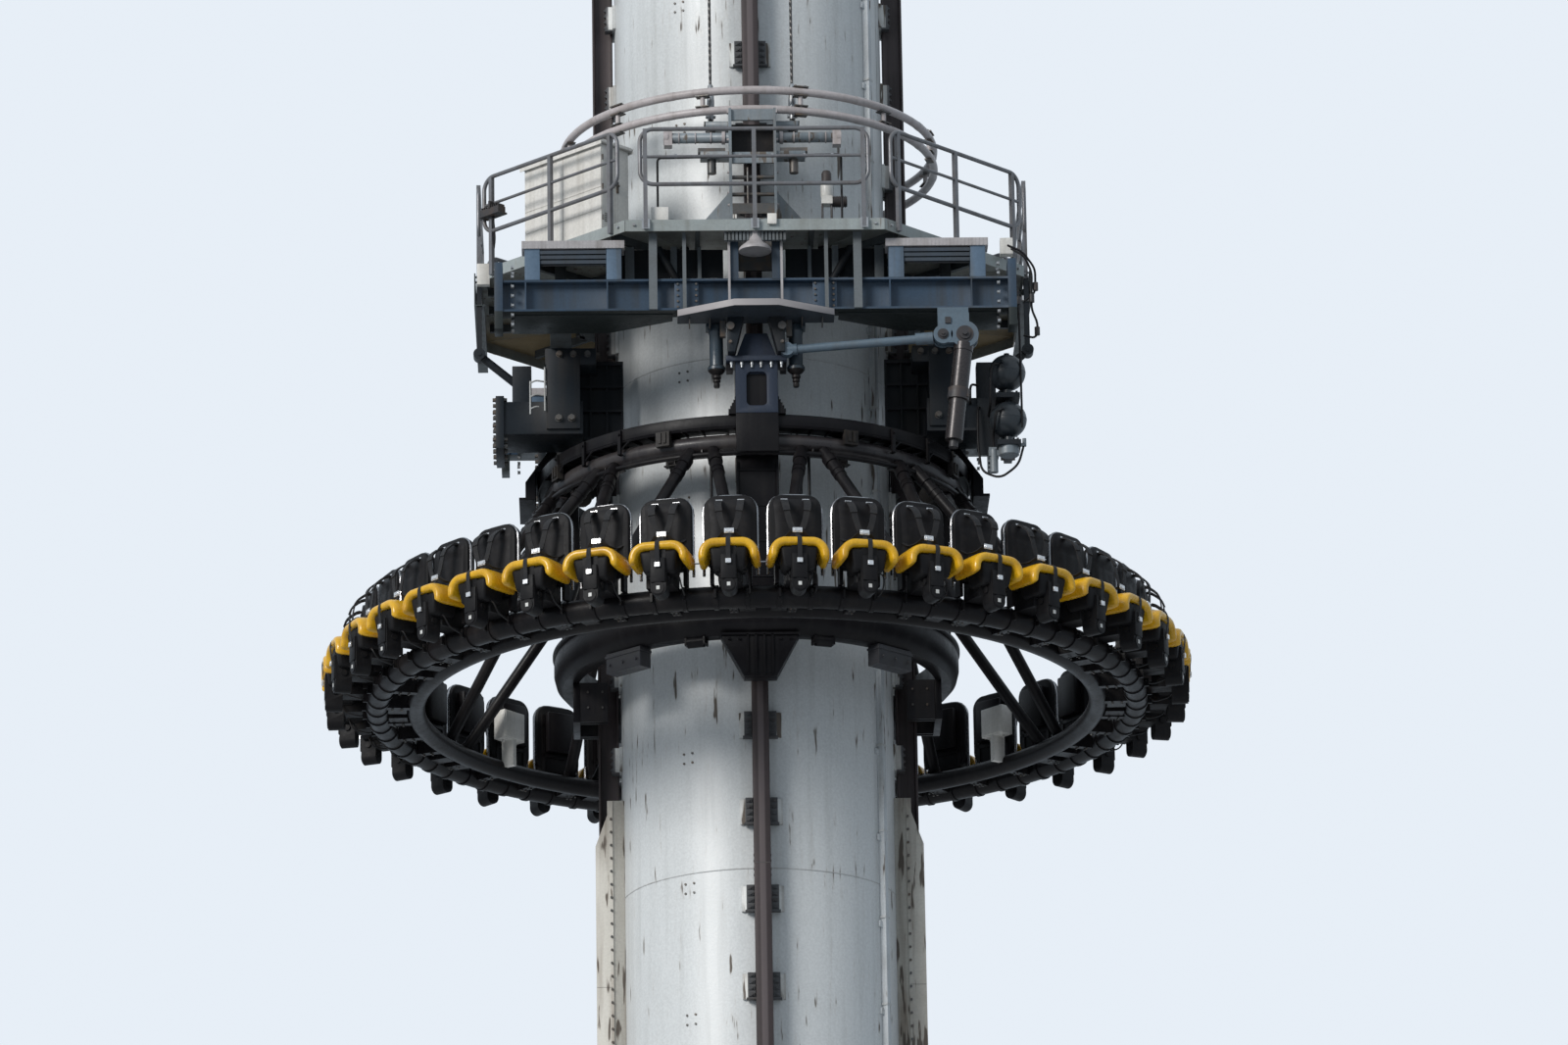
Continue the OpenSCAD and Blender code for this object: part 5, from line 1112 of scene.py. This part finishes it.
# Column heads
# The heads of the front and back columns are painted slate, with a window, a bolted flange and a
# tapered tongue on top that the hook of the catch car grips. Small gussets stand at both sides.
head_slate = painted("column head paint", (0.028, 0.037, 0.058), (0.036, 0.038, 0.042), 0.36, 1.5, 0.4, 0.35,
                     shine=0.25)
softened("head_shells", "column_heads", head_slate, "carriage", 0.006, 2)
softened("apron_plates", "column_aprons", black_paint, "carriage", 0.005, 2)
bolts = bmesh.new()
gussets = bmesh.new()
for face in (0, 180):
    place = turned(face)
    for x in (-0.27, -0.16, -0.05, 0.05, 0.16, 0.27):
        rod(bolts, (x, -2.465, ring_z + 3.145), (x, -2.465, ring_z + 3.18), 0.020, 12, place)
        rod(bolts, (x, -2.465, ring_z + 3.115), (x, -2.465, ring_z + 3.145), 0.013, 10, place)
    for side in (-1, 1):
        for row in range(5):
            low = row * 0.035
            block(gussets, (side * 0.228 - 0.008 + side * row * 0.018, -2.42, ring_z + 2.605 + 0.001),
                  (side * 0.228 + 0.012 + side * row * 0.018, -2.20, ring_z + 2.80 - low), place)
        bar(gussets, side * 0.29, 0.035, (-2.42, -2.30), (ring_z + 3.09, ring_z + 3.181), place)
    block(gussets, (-0.105, -2.395, ring_z + 2.70), (0.105, -2.388, ring_z + 3.06), place)
piece("head_bolts", bolts, zinc, "carriage")
piece("head_gussets", gussets, black_paint, "carriage")

# Ring beam and wings
# A flat box beam joins the four columns, its underside ribbed, with small hangers over the
# track. A folded wing plate stands over each side.
softened("ring_beam_shell", "ring_beam", black_paint, "carriage", 0.005, 2)
softened("wing_plates", "wings", black_paint, "carriage", 0.003, 1)
underside = bmesh.new()
for step in range(72):
    if (step * 5 + 13) % 90 > 26:
        block(underside, (-0.006, -2.395, ring_z + 2.447), (0.006, -2.16, ring_z + 2.477), turned(step * 5))
hoop(underside, 2.392, ring_z + 2.462, 0.012, steps=180, sides=6)
for angle in (38, 51, 64, 116, 129, 142):
    for side in (-1, 1):
        place = turned(side * angle)
        block(underside, (-0.020, -2.43, ring_z + 2.31), (0.020, -2.403, ring_z + 2.59), place)
        block(underside, (-0.020, -2.43, ring_z + 2.31), (0.020, -2.372, ring_z + 2.324), place)
        rod(underside, (0, -2.41, ring_z + 2.36), (0.13, -2.39, ring_z + 2.47), 0.010, 8, place)
        hex_bolt(underside, (0, -2.43, ring_z + 2.54), (0, -1, 0), 0.028, place)
piece("ring_beam_ribs", underside, black_paint, "carriage")
bent_pipe("column_conduits", [
    [(-0.30, -2.11, ring_z + 2.46), (-0.50, -2.13, ring_z + 2.42), (-0.50, -2.13, ring_z + 0.72),
     (-0.32, -2.06, ring_z + 0.60)],
    [(0.36, -2.115, ring_z + 2.46), (0.47, -2.10, ring_z + 2.38), (0.47, -2.10, ring_z + 0.72),
     (0.36, -2.06, ring_z + 0.60)],
    [(0.42, -2.112, ring_z + 2.46), (0.56, -2.09, ring_z + 2.38), (0.56, -2.09, ring_z + 0.80),
     (0.44, -2.04, ring_z + 0.60)]],
    0.016, black_paint, "carriage", 0.08)

# Lower ring
# A rounded box ring closes the gondola below. Roller boxes hang under it beside the keels, and
# squarer boxes sit further round.
softened("lower_ring_shell", "lower_ring", black_paint, "carriage", 0.006, 2)
lumps = bmesh.new()
crates = bmesh.new()
for angle in (19, 161):
    for side in (-1, 1):
        place = turned(side * angle)
        rod(lumps, (-0.09, -2.10, ring_z + 0.16), (0.09, -2.10, ring_z + 0.16), 0.06, 20, place)
        block(lumps, (-0.115, -2.16, ring_z + 0.12), (-0.092, -2.03, ring_z + 0.203), place)
        block(lumps, (0.092, -2.16, ring_z + 0.12), (0.115, -2.03, ring_z + 0.203), place)
        rod(lumps, (-0.13, -2.10, ring_z + 0.16), (0.13, -2.10, ring_z + 0.16), 0.018, 10, place)
for angle in (43, 137):
    for side in (-1, 1):
        place = turned(side * angle)
        block(crates, (-0.250, -2.16, ring_z - 0.02), (0.250, -1.99, ring_z + 0.201), place)
        block(crates, (-0.262, -2.17, ring_z + 0.150), (0.262, -1.985, ring_z + 0.175), place)
        for x in (-0.19, 0.0, 0.19):
            hex_bolt(crates, (x, -2.16, ring_z + 0.07), (0, -1, 0), 0.032, place)
piece("lower_ring_rollers", lumps, black_paint, "carriage")
rounded(crates, crates.edges[:], 0.003)
crate_grey = painted("ring box paint", (0.034, 0.034, 0.039), (0.028, 0.027, 0.026), 0.4, 3.0, 0.5, 0.4)
piece("lower_ring_boxes", crates, crate_grey, "carriage")

# Brake magnets
# Finned magnet cheeks stand on both sides of each brake fin and slow the gondola without
# touching it. They are painted dark and held by rows of through bolts.
magnet_dark = painted("magnet paint", (0.018, 0.017, 0.019), (0.040, 0.034, 0.030), 0.42, 3.0, 0.5, 0.4,
                      shine=0.15)
softened("magnet_cheeks", "brake_magnets", magnet_dark, "carriage", 0.003, 1)
bolts = bmesh.new()
for face in (90, 270):
    place = turned(face)
    for row in range(13):
        level = ring_z - 0.80 + row * 0.178
        if abs(level - ring_z - 0.4) > 0.21 and level > ring_z - 0.22:
            for x in (-0.352, 0.352):
                for y in (-1.70, -1.86):
                    hex_bolt(bolts, (x, y, level), (x, 0, 0), 0.026, place, washer=False)
piece("magnet_bolts", bolts, steel_dark, "carriage")

# Bogies
# Eight hangers hold the track tube between an upper shoe and a small steel roller. They are
# dark and rough.
bogie_dark = painted("bogie casting", (0.016, 0.014, 0.0135), (0.040, 0.034, 0.028), 0.5, 7.0, 0.7, 0.4,
                     grain=0.003, shine=0.2)
dress(bogie_dark, "bogies")
fittings = bmesh.new()
for quarter in range(4):
    for side in (-1, 1):
        place = turned(quarter * 90 + side * 25)
        for level in (2.27, 2.37, 2.44):
            hex_bolt(fittings, (-0.055, -2.143, ring_z + level), (0, -1, 0), 0.022, place, washer=False)
        block(fittings, (-0.10, -2.124, ring_z + 2.19), (0.10, -2.085, ring_z + 2.47), place)
        rod(fittings, (-0.03, -2.09, ring_z + 2.15), (0.03, -2.09, ring_z + 2.15), 0.095, 24, place)
        block(fittings, (-0.080, -2.43, ring_z + 2.315), (0.080, -2.363, ring_z + 2.476), place)
        block(fittings, (-0.045, -2.445, ring_z + 2.345), (-0.012, -2.425, ring_z + 2.465), place)
        block(fittings, (0.012, -2.445, ring_z + 2.345), (0.045, -2.425, ring_z + 2.465), place)
piece("bogie_fittings", fittings, bogie_dark, "carriage")

# Track tube and struts
# The ring of seats hangs from one round track tube on twenty-four struts that zigzag down to the
# seat rings. Each strut has a sleeve below its top, and pairs meet on a small plate.
ring_black = painted("seat ring paint", (0.0085, 0.0076, 0.0086), (0.024, 0.021, 0.020), 0.34, 1.8, 0.45,
                     0.45, shine=0.14)
tube_grey = painted("track tube paint", (0.036, 0.032, 0.034), (0.070, 0.062, 0.058), 0.30, 2.2, 0.5, 0.4,
                    shine=0.3)
dress(tube_grey, "track_tube")
dress(ring_black, "struts", "ring_clamps")
sleeves = bmesh.new()
plates = bmesh.new()
for count in range(12):
    for side in (-1, 1):
        foot = turned(count * 30 + side * 2.4) @ Vector((0, -3.955, ring_z))
        top = turned(count * 30 + side * 15 - side * 2.4) @ Vector((0, -2.25, ring_z + 2.33))
        for low, high, wide in ((0.082, 0.115, 0.080), (0.150, 0.163, 0.073), (0.175, 0.188, 0.073),
                                (0.925, 0.950, 0.073)):
            rod(sleeves, top.lerp(foot, low), top.lerp(foot, high), wide, 20)
    place = turned(count * 30 + 15)
    block(plates, (-0.175, -2.335, ring_z + 2.196), (0.175, -2.185, ring_z + 2.214), place)
    block(plates, (-0.006, -2.33, ring_z + 2.214), (0.006, -2.20, ring_z + 2.255), place)
    for x in (-0.14, 0.14):
        hex_bolt(plates, (x, -2.31, ring_z + 2.196), (0, 0, -1), 0.026, place)
    place = turned(count * 30)
    block(plates, (-0.125, -3.99, ring_z + 0.045), (0.125, -3.86, ring_z + 0.058), place)
piece("strut_sleeves", sleeves, ring_black, "seat_ring")
piece("strut_plates", plates, tube_grey, "seat_ring")
track_pipe = bmesh.new()
hoop(track_pipe, 2.355, ring_z + 2.185, 0.030, steps=144, sides=12)
piece("track_lower_pipe", track_pipe, ring_black, "seat_ring")

# Ring tubes
# Two round tubes, one outside and one inside, are joined by flat clamps into a ladder ring. Raised
# bands hold the bracket of each seat on the outer tube.
seat_count = 40
seat_turn = 360 / seat_count


def at_each_seat(bm):
    bmesh.ops.transform(bm, matrix=turned(seat_turn / 2), verts=bm.verts)
    around(bm, seat_count)


dress(ring_black, "ring_tubes")
bands = bmesh.new()
for side in (-2.25, 2.25):
    place = turned(side) @ Matrix.Translation((0, -4.175, ring_z)) @ Matrix.Rotation(math.radians(90), 4, "Y")
    spun(bands, [(0.119, -0.026), (0.134, -0.024), (0.134, 0.024), (0.119, 0.026)], place, 22)
block(bands, (-0.012, -4.345, ring_z - 0.045), (0.012, -4.29, ring_z + 0.045), turned(2.25))
block(bands, (-0.012, -4.345, ring_z - 0.045), (0.012, -4.29, ring_z + 0.045), turned(-2.25))
at_each_seat(bands)
piece("seat_bands", bands, ring_black, "seat_ring")
bolts = bmesh.new()
for radius in (3.91, 4.01):
    for x in (-0.025, 0.025):
        hex_bolt(bolts, (x, -radius, ring_z - 0.070), (0, 0, -1), 0.024, washer=False)
at_each_seat(bolts)
piece("clamp_bolts", bolts, steel_dark, "seat_ring")
cables = bmesh.new()
hoop(cables, 3.895, ring_z + 0.098, 0.014, steps=160, sides=6)
hoop(cables, 3.930, ring_z + 0.095, 0.011, steps=160, sides=6)
piece("ring_cables", cables, hose_black, "seat_ring")

# Seat shells
# Each seat has a black moulded back with rounded corners. A bent tube with a worn bright
# face runs round its rim, and two brackets tie it to the outer tube.
shell_black = painted("moulded black plastic", (0.0080, 0.0076, 0.0085), (0.022, 0.021, 0.021), 0.48, 5.0,
                      0.4, 0.3, shine=0.14)
softened("seat_backs", "seat_shells", shell_black, "seat_ring", 0.016, 2)
tube_shine = painted("polished seat tube", (0.30, 0.30, 0.31), (0.10, 0.10, 0.10), 0.24, 8.0, 0.5, 0.3,
                     metal=0.9)
rim_route = [(-0.283, -4.297, ring_z + 0.20), (-0.283, -4.297, ring_z + 1.073),
             (0.283, -4.297, ring_z + 1.073), (0.283, -4.297, ring_z + 0.20)]
rims = []
for seat in range(seat_count):
    place = turned((seat + 0.5) * seat_turn)
    rims.append([place @ Vector(point) for point in rim_route])
bent_pipe("seat_rim_tubes", rims, 0.0165, tube_shine, "seat_ring", 0.20, 2)
braces = bmesh.new()
for side in (-1, 1):
    bar(braces, side * 0.20, 0.02, (-4.345, -4.25), (ring_z + 0.10, ring_z + 0.32))
    bar(braces, side * 0.20, 0.02, (-4.242, -4.228), (ring_z + 0.28, ring_z + 0.95))
shape = block(braces, (-0.175, -4.240, ring_z + 0.50), (0.175, -4.155, ring_z + 0.98))
rounded(braces, edges_of(shape), 0.020, 2)
block(braces, (-0.22, -4.240, ring_z + 0.45), (0.22, -4.228, ring_z + 0.49))
block(braces, (-0.22, -4.240, ring_z + 0.80), (0.22, -4.228, ring_z + 0.84))
at_each_seat(braces)
piece("seat_braces", braces, ring_black, "seat_ring")

# Back pads
# Every shell has a thin moulded pad, sewn in three channels with a thicker roll for the head. It
# is padded vinyl, slightly greyer than the shell.
vinyl = painted("black vinyl", (0.0130, 0.0125, 0.0140), (0.030, 0.028, 0.027), 0.5, 14.0, 0.4, 0.1,
                grain=0.0008, shine=0.14)
pads = bmesh.new()
bmesh.ops.create_grid(pads, x_segments=14, y_segments=18, size=1.0)
for vert in pads.verts:
    u = vert.co.x
    v = vert.co.y / 2 + 0.5
    waist = 1.0 - 0.10 * math.sin(v * math.pi)
    crown = (1 - u ** 6) * (1 - (2 * v - 1) ** 8)
    channel = 0.45 * math.exp(-((abs(u) - 0.36) / 0.07) ** 2) if 0.06 < v < 0.78 else 0.0
    seam = 0.5 * math.exp(-((v - 0.78) / 0.022) ** 2) + 0.3 * math.exp(-((v - 0.40) / 0.02) ** 2)
    proud = 0.020 * crown * (1.0 - channel) * (1.0 - seam) + (0.006 * crown if v > 0.8 else 0.0)
    vert.co = (u * 0.232 * waist, -4.350 - proud, ring_z + 0.335 + v * 0.685)
border = [line for line in pads.edges if line.is_boundary]
rim = bmesh.ops.extrude_edge_only(pads, edges=border)["geom"]
inner = [part for part in rim if isinstance(part, bmesh.types.BMVert)]
bmesh.ops.translate(pads, vec=(0, 0.018, 0), verts=inner)
bmesh.ops.contextual_create(pads, geom=[part for part in rim if isinstance(part, bmesh.types.BMEdge)])
at_each_seat(pads)
piece("back_pads", pads, vinyl, "seat_ring", edge=50)

# Saddles
# The yellow seats are glass fibre mouldings, like short saddles: an arched top with two horns
# that reach down at the sides and narrow to rounded feet. Darker soil lies over them in patches.
saddle_yellow = painted("saddle yellow gel coat", (0.72, 0.40, 0.012), (0.42, 0.20, 0.012), 0.22, 3.2, 0.6,
                        0.3, grain=0.0006)
saddles = bmesh.new()
sections = ((4.381, 0.022), (4.388, 0.006), (4.40, 0.0), (4.62, 0.0), (4.70, 0.002), (4.745, 0.008),
            (4.768, 0.018), (4.779, 0.034))
loops = []
for radius, shrink in sections:
    outline = [(-0.300 + shrink * 0.5, -0.248 + shrink), (-0.318 + shrink, -0.225 + shrink * 0.6)]
    for step in range(11):
        turn = math.radians(180 - step * 9)
        outline.append((-0.14 + (0.18 - shrink) * math.cos(turn), -0.18 + (0.18 - shrink) * math.sin(turn)))
    mirrored = [(-x, z) for x, z in outline[::-1]]
    inside = [(-0.258 - shrink * 0.3, -0.244 + shrink), (-0.236 - shrink * 0.6, -0.215)]
    for step in range(8):
        turn = math.radians(180 - step * 90 / 7)
        inside.append((-0.14 + (0.08 + shrink) * math.cos(turn), -0.18 + (0.08 + shrink) * math.sin(turn)))
    outside = outline + mirrored
    under = [(-x, z) for x, z in inside] + inside[::-1]
    line = [saddles.verts.new((x, -radius, ring_z + 0.49 + z)) for x, z in outside + under]
    loops.append([saddles.edges.new(pair) for pair in zip(line, line[1:] + line[:1])])
for back, front in zip(loops, loops[1:]):
    bmesh.ops.bridge_loops(saddles, edges=back + front)
bmesh.ops.contextual_create(saddles, geom=loops[0])
bmesh.ops.contextual_create(saddles, geom=loops[-1])
bmesh.ops.triangulate(saddles, faces=[face for face in saddles.faces if len(face.verts) > 4])
at_each_seat(saddles)
piece("saddle_mouldings", saddles, saddle_yellow, "seat_ring", "seat_saddles", edge=44)

# Seat pans and posts
# A black pan fills each saddle from below and stands on a post with a rounded foot. The post
# hides the latch of the harness behind a cover, with a blank pale tag on the foot.
softened("post_bodies", "seat_posts", shell_black, "seat_ring", 0.006, 1)
pans = bmesh.new()
shape = block(pans, (-0.205, -4.745, ring_z + 0.150), (0.205, -4.40, ring_z + 0.386))
for vert in shape:
    if vert.co.z < ring_z + 0.2:
        vert.co.x *= 0.80
        vert.co.y = -4.715 if vert.co.y < -4.6 else -4.43
rounded(pans, pans.edges[:], 0.035, 3)
shape = block(pans, (-0.079, -4.757, ring_z + 0.035), (0.079, -4.738, ring_z + 0.30))
rounded(pans, edges_of(shape), 0.007, 2)
rod(pans, (0, -4.738, ring_z - 0.025), (0, -4.750, ring_z - 0.025), 0.066, 24)
for side in (-1, 1):
    rod(pans, (side * 0.086, -4.65, ring_z + 0.10), (side * 0.104, -4.65, ring_z + 0.10), 0.035, 14)
    bar(pans, side * 0.112, 0.022, (-4.60, -4.47), (ring_z + 0.14, ring_z + 0.26))
at_each_seat(pans)
piece("seat_pans", pans, shell_black, "seat_ring")
tag_white = painted("pale tag", (0.62, 0.62, 0.60), (0.30, 0.29, 0.27), 0.4, 20.0, 0.5, 0.2)
tags = bmesh.new()
block(tags, (-0.018, -4.753, ring_z - 0.045), (0.018, -4.748, ring_z - 0.005))
at_each_seat(tags)
piece("blank_tags", tags, tag_white, "seat_ring")
spacers = bmesh.new()
rod(spacers, (-0.105, -4.40, ring_z + 0.315), (0.105, -4.40, ring_z + 0.315), 0.009, 8)
rod(spacers, (-0.050, -4.40, ring_z + 0.315), (-0.070, -4.40, ring_z + 0.315), 0.016, 8)
rod(spacers, (0.050, -4.40, ring_z + 0.315), (0.070, -4.40, ring_z + 0.315), 0.016, 8)
around(spacers, seat_count)
piece("seat_spacers", spacers, tube_shine, "seat_ring")

# Seat cables
# A short looped lead joins each post to the cables of the ring. It is a rubber sleeve of fixed
# form, fastened at both ends.
leads = []
for seat in range(seat_count):
    place = turned((seat + 0.5) * seat_turn)
    leads.append([place @ Vector(point) for point in (
        (0.104, -4.60, ring_z + 0.16), (0.190, -4.60, ring_z + 0.15), (0.205, -4.54, ring_z + 0.03),
        (0.200, -4.36, ring_z - 0.02), (0.150, -4.31, ring_z + 0.02))])
bent_pipe("seat_leads", leads, 0.009, hose_black, "seat_ring", 0.06, 1)

# Harness
# Two shoulder straps and two side straps run from the back to a bright buckle plate, and a
# crotch strap goes on from it over the front of the saddle to the post. All are flat webbing.
webbing = painted("woven webbing", (0.026, 0.026, 0.028), (0.060, 0.056, 0.054), 0.62, 10.0, 0.4, 0.1,
                  shine=0.2)
tree = webbing.node_tree
skin = tree.nodes["Principled BSDF"]
strip = lay(tree, "UVMap", {}).outputs["UV"]
weave = lay(tree, "TexWave", {"Vector": strip, "Scale": 60.0, "Distortion": 0.6},
            bands_direction="Y").outputs[1]
rib = lay(tree, "TexWave", {"Vector": strip, "Scale": 45.0}, bands_direction="X").outputs[1]
height = times(tree, weave, times(tree, rib, 0.6), "ADD")
tree.links.new(lay(tree, "Bump", {"Height": height, "Distance": 0.002, "Strength": 0.8}).outputs[0],
               skin.inputs["Normal"])
coated = skin.inputs["Base Color"].links[0].from_socket
shade = lay(tree, "VectorMath", {0: coated, "Scale": between(tree, weave, 0.0, 1.0, 0.7, 1.25)},
            operation="SCALE").outputs[0]
tree.links.new(shade, skin.inputs["Base Color"])


def strap(bm, points, width, thick):
    unwrap = bm.loops.layers.uv.verify()
    marks = {}
    gone = 0.0
    faces = []
    for spot, point in enumerate(points):
        way = (points[min(spot + 1, len(points) - 1)] - points[max(spot - 1, 0)]).normalized()
        across = Vector((1, 0, 0))
        across = (across - way * across.dot(way)).normalized()
        gone += (point - points[max(spot - 1, 0)]).length
        stand = Matrix((across, across.cross(way), -way)).transposed().to_4x4()
        stand = Matrix.Translation(point) @ stand @ Matrix.Diagonal((width / 2, thick / 2, 1, 1))
        if faces:
            made = bmesh.ops.extrude_face_region(bm, geom=faces)["geom"]
            bmesh.ops.delete(bm, geom=faces, context="FACES_ONLY")
            ends = [part for part in made if isinstance(part, bmesh.types.BMVert)]
            bmesh.ops.transform(bm, matrix=stand @ former.inverted(), verts=ends)
            for vert in ends:
                side = (stand.inverted() @ vert.co).x
                marks[vert] = (side * width / 2, gone)
        else:
            ends = bmesh.ops.create_grid(bm, x_segments=1, y_segments=1, size=1.0, matrix=stand)["verts"]
            made = list({face for vert in ends for face in vert.link_faces})
            for vert in ends:
                marks[vert] = ((stand.inverted() @ vert.co).x * width / 2, 0.0)
        former = stand
        faces = [part for part in made if isinstance(part, bmesh.types.BMFace)]
    for face in {face for vert in marks for face in vert.link_faces}:
        for loop in face.loops:
            loop[unwrap].uv = marks[loop.vert]


def curve_through(points, steps):
    found = []
    spots = [Vector(point) for point in points]
    spots = [spots[0] * 2 - spots[1]] + spots + [spots[-1] * 2 - spots[-2]]
    for p, q, r, s in zip(spots, spots[1:], spots[2:], spots[3:]):
        for step in range(steps):
            t = step / steps
            found.append(0.5 * ((2 * q) + (r - p) * t + (2 * p - 5 * q + 4 * r - s) * t * t
                                + (3 * q - p - 3 * r + s) * t ** 3))
    return found + [spots[-2]]


shoulder_width = 0.062
pad_width = 0.074
crotch_width = 0.048
lap_width = 0.040
web_thick = 0.007
straps = bmesh.new()
for side in (-1, 1):
    strap(straps, curve_through([
        (side * 0.115, -4.345, ring_z + 1.003), (side * 0.118, -4.42, ring_z + 0.975),
        (side * 0.116, -4.51, ring_z + 0.905), (side * 0.104, -4.545, ring_z + 0.82),
        (side * 0.082, -4.553, ring_z + 0.72), (side * 0.052, -4.557, ring_z + 0.632)], 4),
        shoulder_width, 0.009)
    strap(straps, curve_through([
        (side * 0.117, -4.372, ring_z + 0.997), (side * 0.118, -4.425, ring_z + 0.978),
        (side * 0.116, -4.514, ring_z + 0.906), (side * 0.106, -4.549, ring_z + 0.83)], 4),
        pad_width, 0.019)
strap(straps, curve_through([
    (0, -4.560, ring_z + 0.60), (0, -4.566, ring_z + 0.56), (0, -4.60, ring_z + 0.512),
    (0, -4.67, ring_z + 0.4965), (0, -4.745, ring_z + 0.488), (0, -4.778, ring_z + 0.455),
    (0, -4.784, ring_z + 0.40), (0, -4.776, ring_z + 0.33), (0, -4.766, ring_z + 0.25)], 3),
    crotch_width, web_thick)
for side in (-1, 1):
    strap(straps, curve_through([
        (side * 0.205, -4.352, ring_z + 0.60), (side * 0.16, -4.40, ring_z + 0.56),
        (side * 0.115, -4.50, ring_z + 0.555), (side * 0.06, -4.556, ring_z + 0.60)], 4),
        lap_width, web_thick)
at_each_seat(straps)
piece("harness_webbing", straps, webbing, "seat_ring", "harnesses", edge=30)
buckles = bmesh.new()
shape = block(buckles, (-0.052, -4.574, ring_z + 0.585), (0.052, -4.558, ring_z + 0.640))
shape += block(buckles, (-0.035, -4.580, ring_z + 0.595), (0.035, -4.573, ring_z + 0.630))
shape += block(buckles, (-0.030, -4.786, ring_z + 0.195), (0.030, -4.764, ring_z + 0.245))
rounded(buckles, edges_of(shape), 0.003)
for side in (-1, 1):
    bar(buckles, side * 0.115, 0.036, (-4.356, -4.348), (ring_z + 0.990, ring_z + 1.020))
at_each_seat(buckles)
buckle_silver = painted("bright buckle", (0.70, 0.70, 0.71), (0.35, 0.34, 0.33), 0.25, 20.0, 0.4, 0.1,
                        metal=0.75)
piece("buckles", buckles, buckle_silver, "seat_ring")

# Junction boxes
# Two pale folded steel boxes stand on the inner tube. Each has a raised lid on its face and a
# row of cable glands below.
softened("junction_cases", "junction_boxes", cabinet_white, "seat_ring", 0.006, 2)
lids = bmesh.new()
for side in (-1, 1):
    place = turned(side * 130)
    shape = block(lids, (-0.160, -3.527, ring_z + 0.315), (0.160, -3.509, ring_z + 0.615), place)
    rounded(lids, edges_of(shape), 0.005, 2)
    for x in (-0.10, 0.0, 0.10):
        rod(lids, (x, -3.60, ring_z + 0.302), (x, -3.60, ring_z + 0.268), 0.016, 10, place)
piece("junction_lids", lids, cabinet_white, "seat_ring")
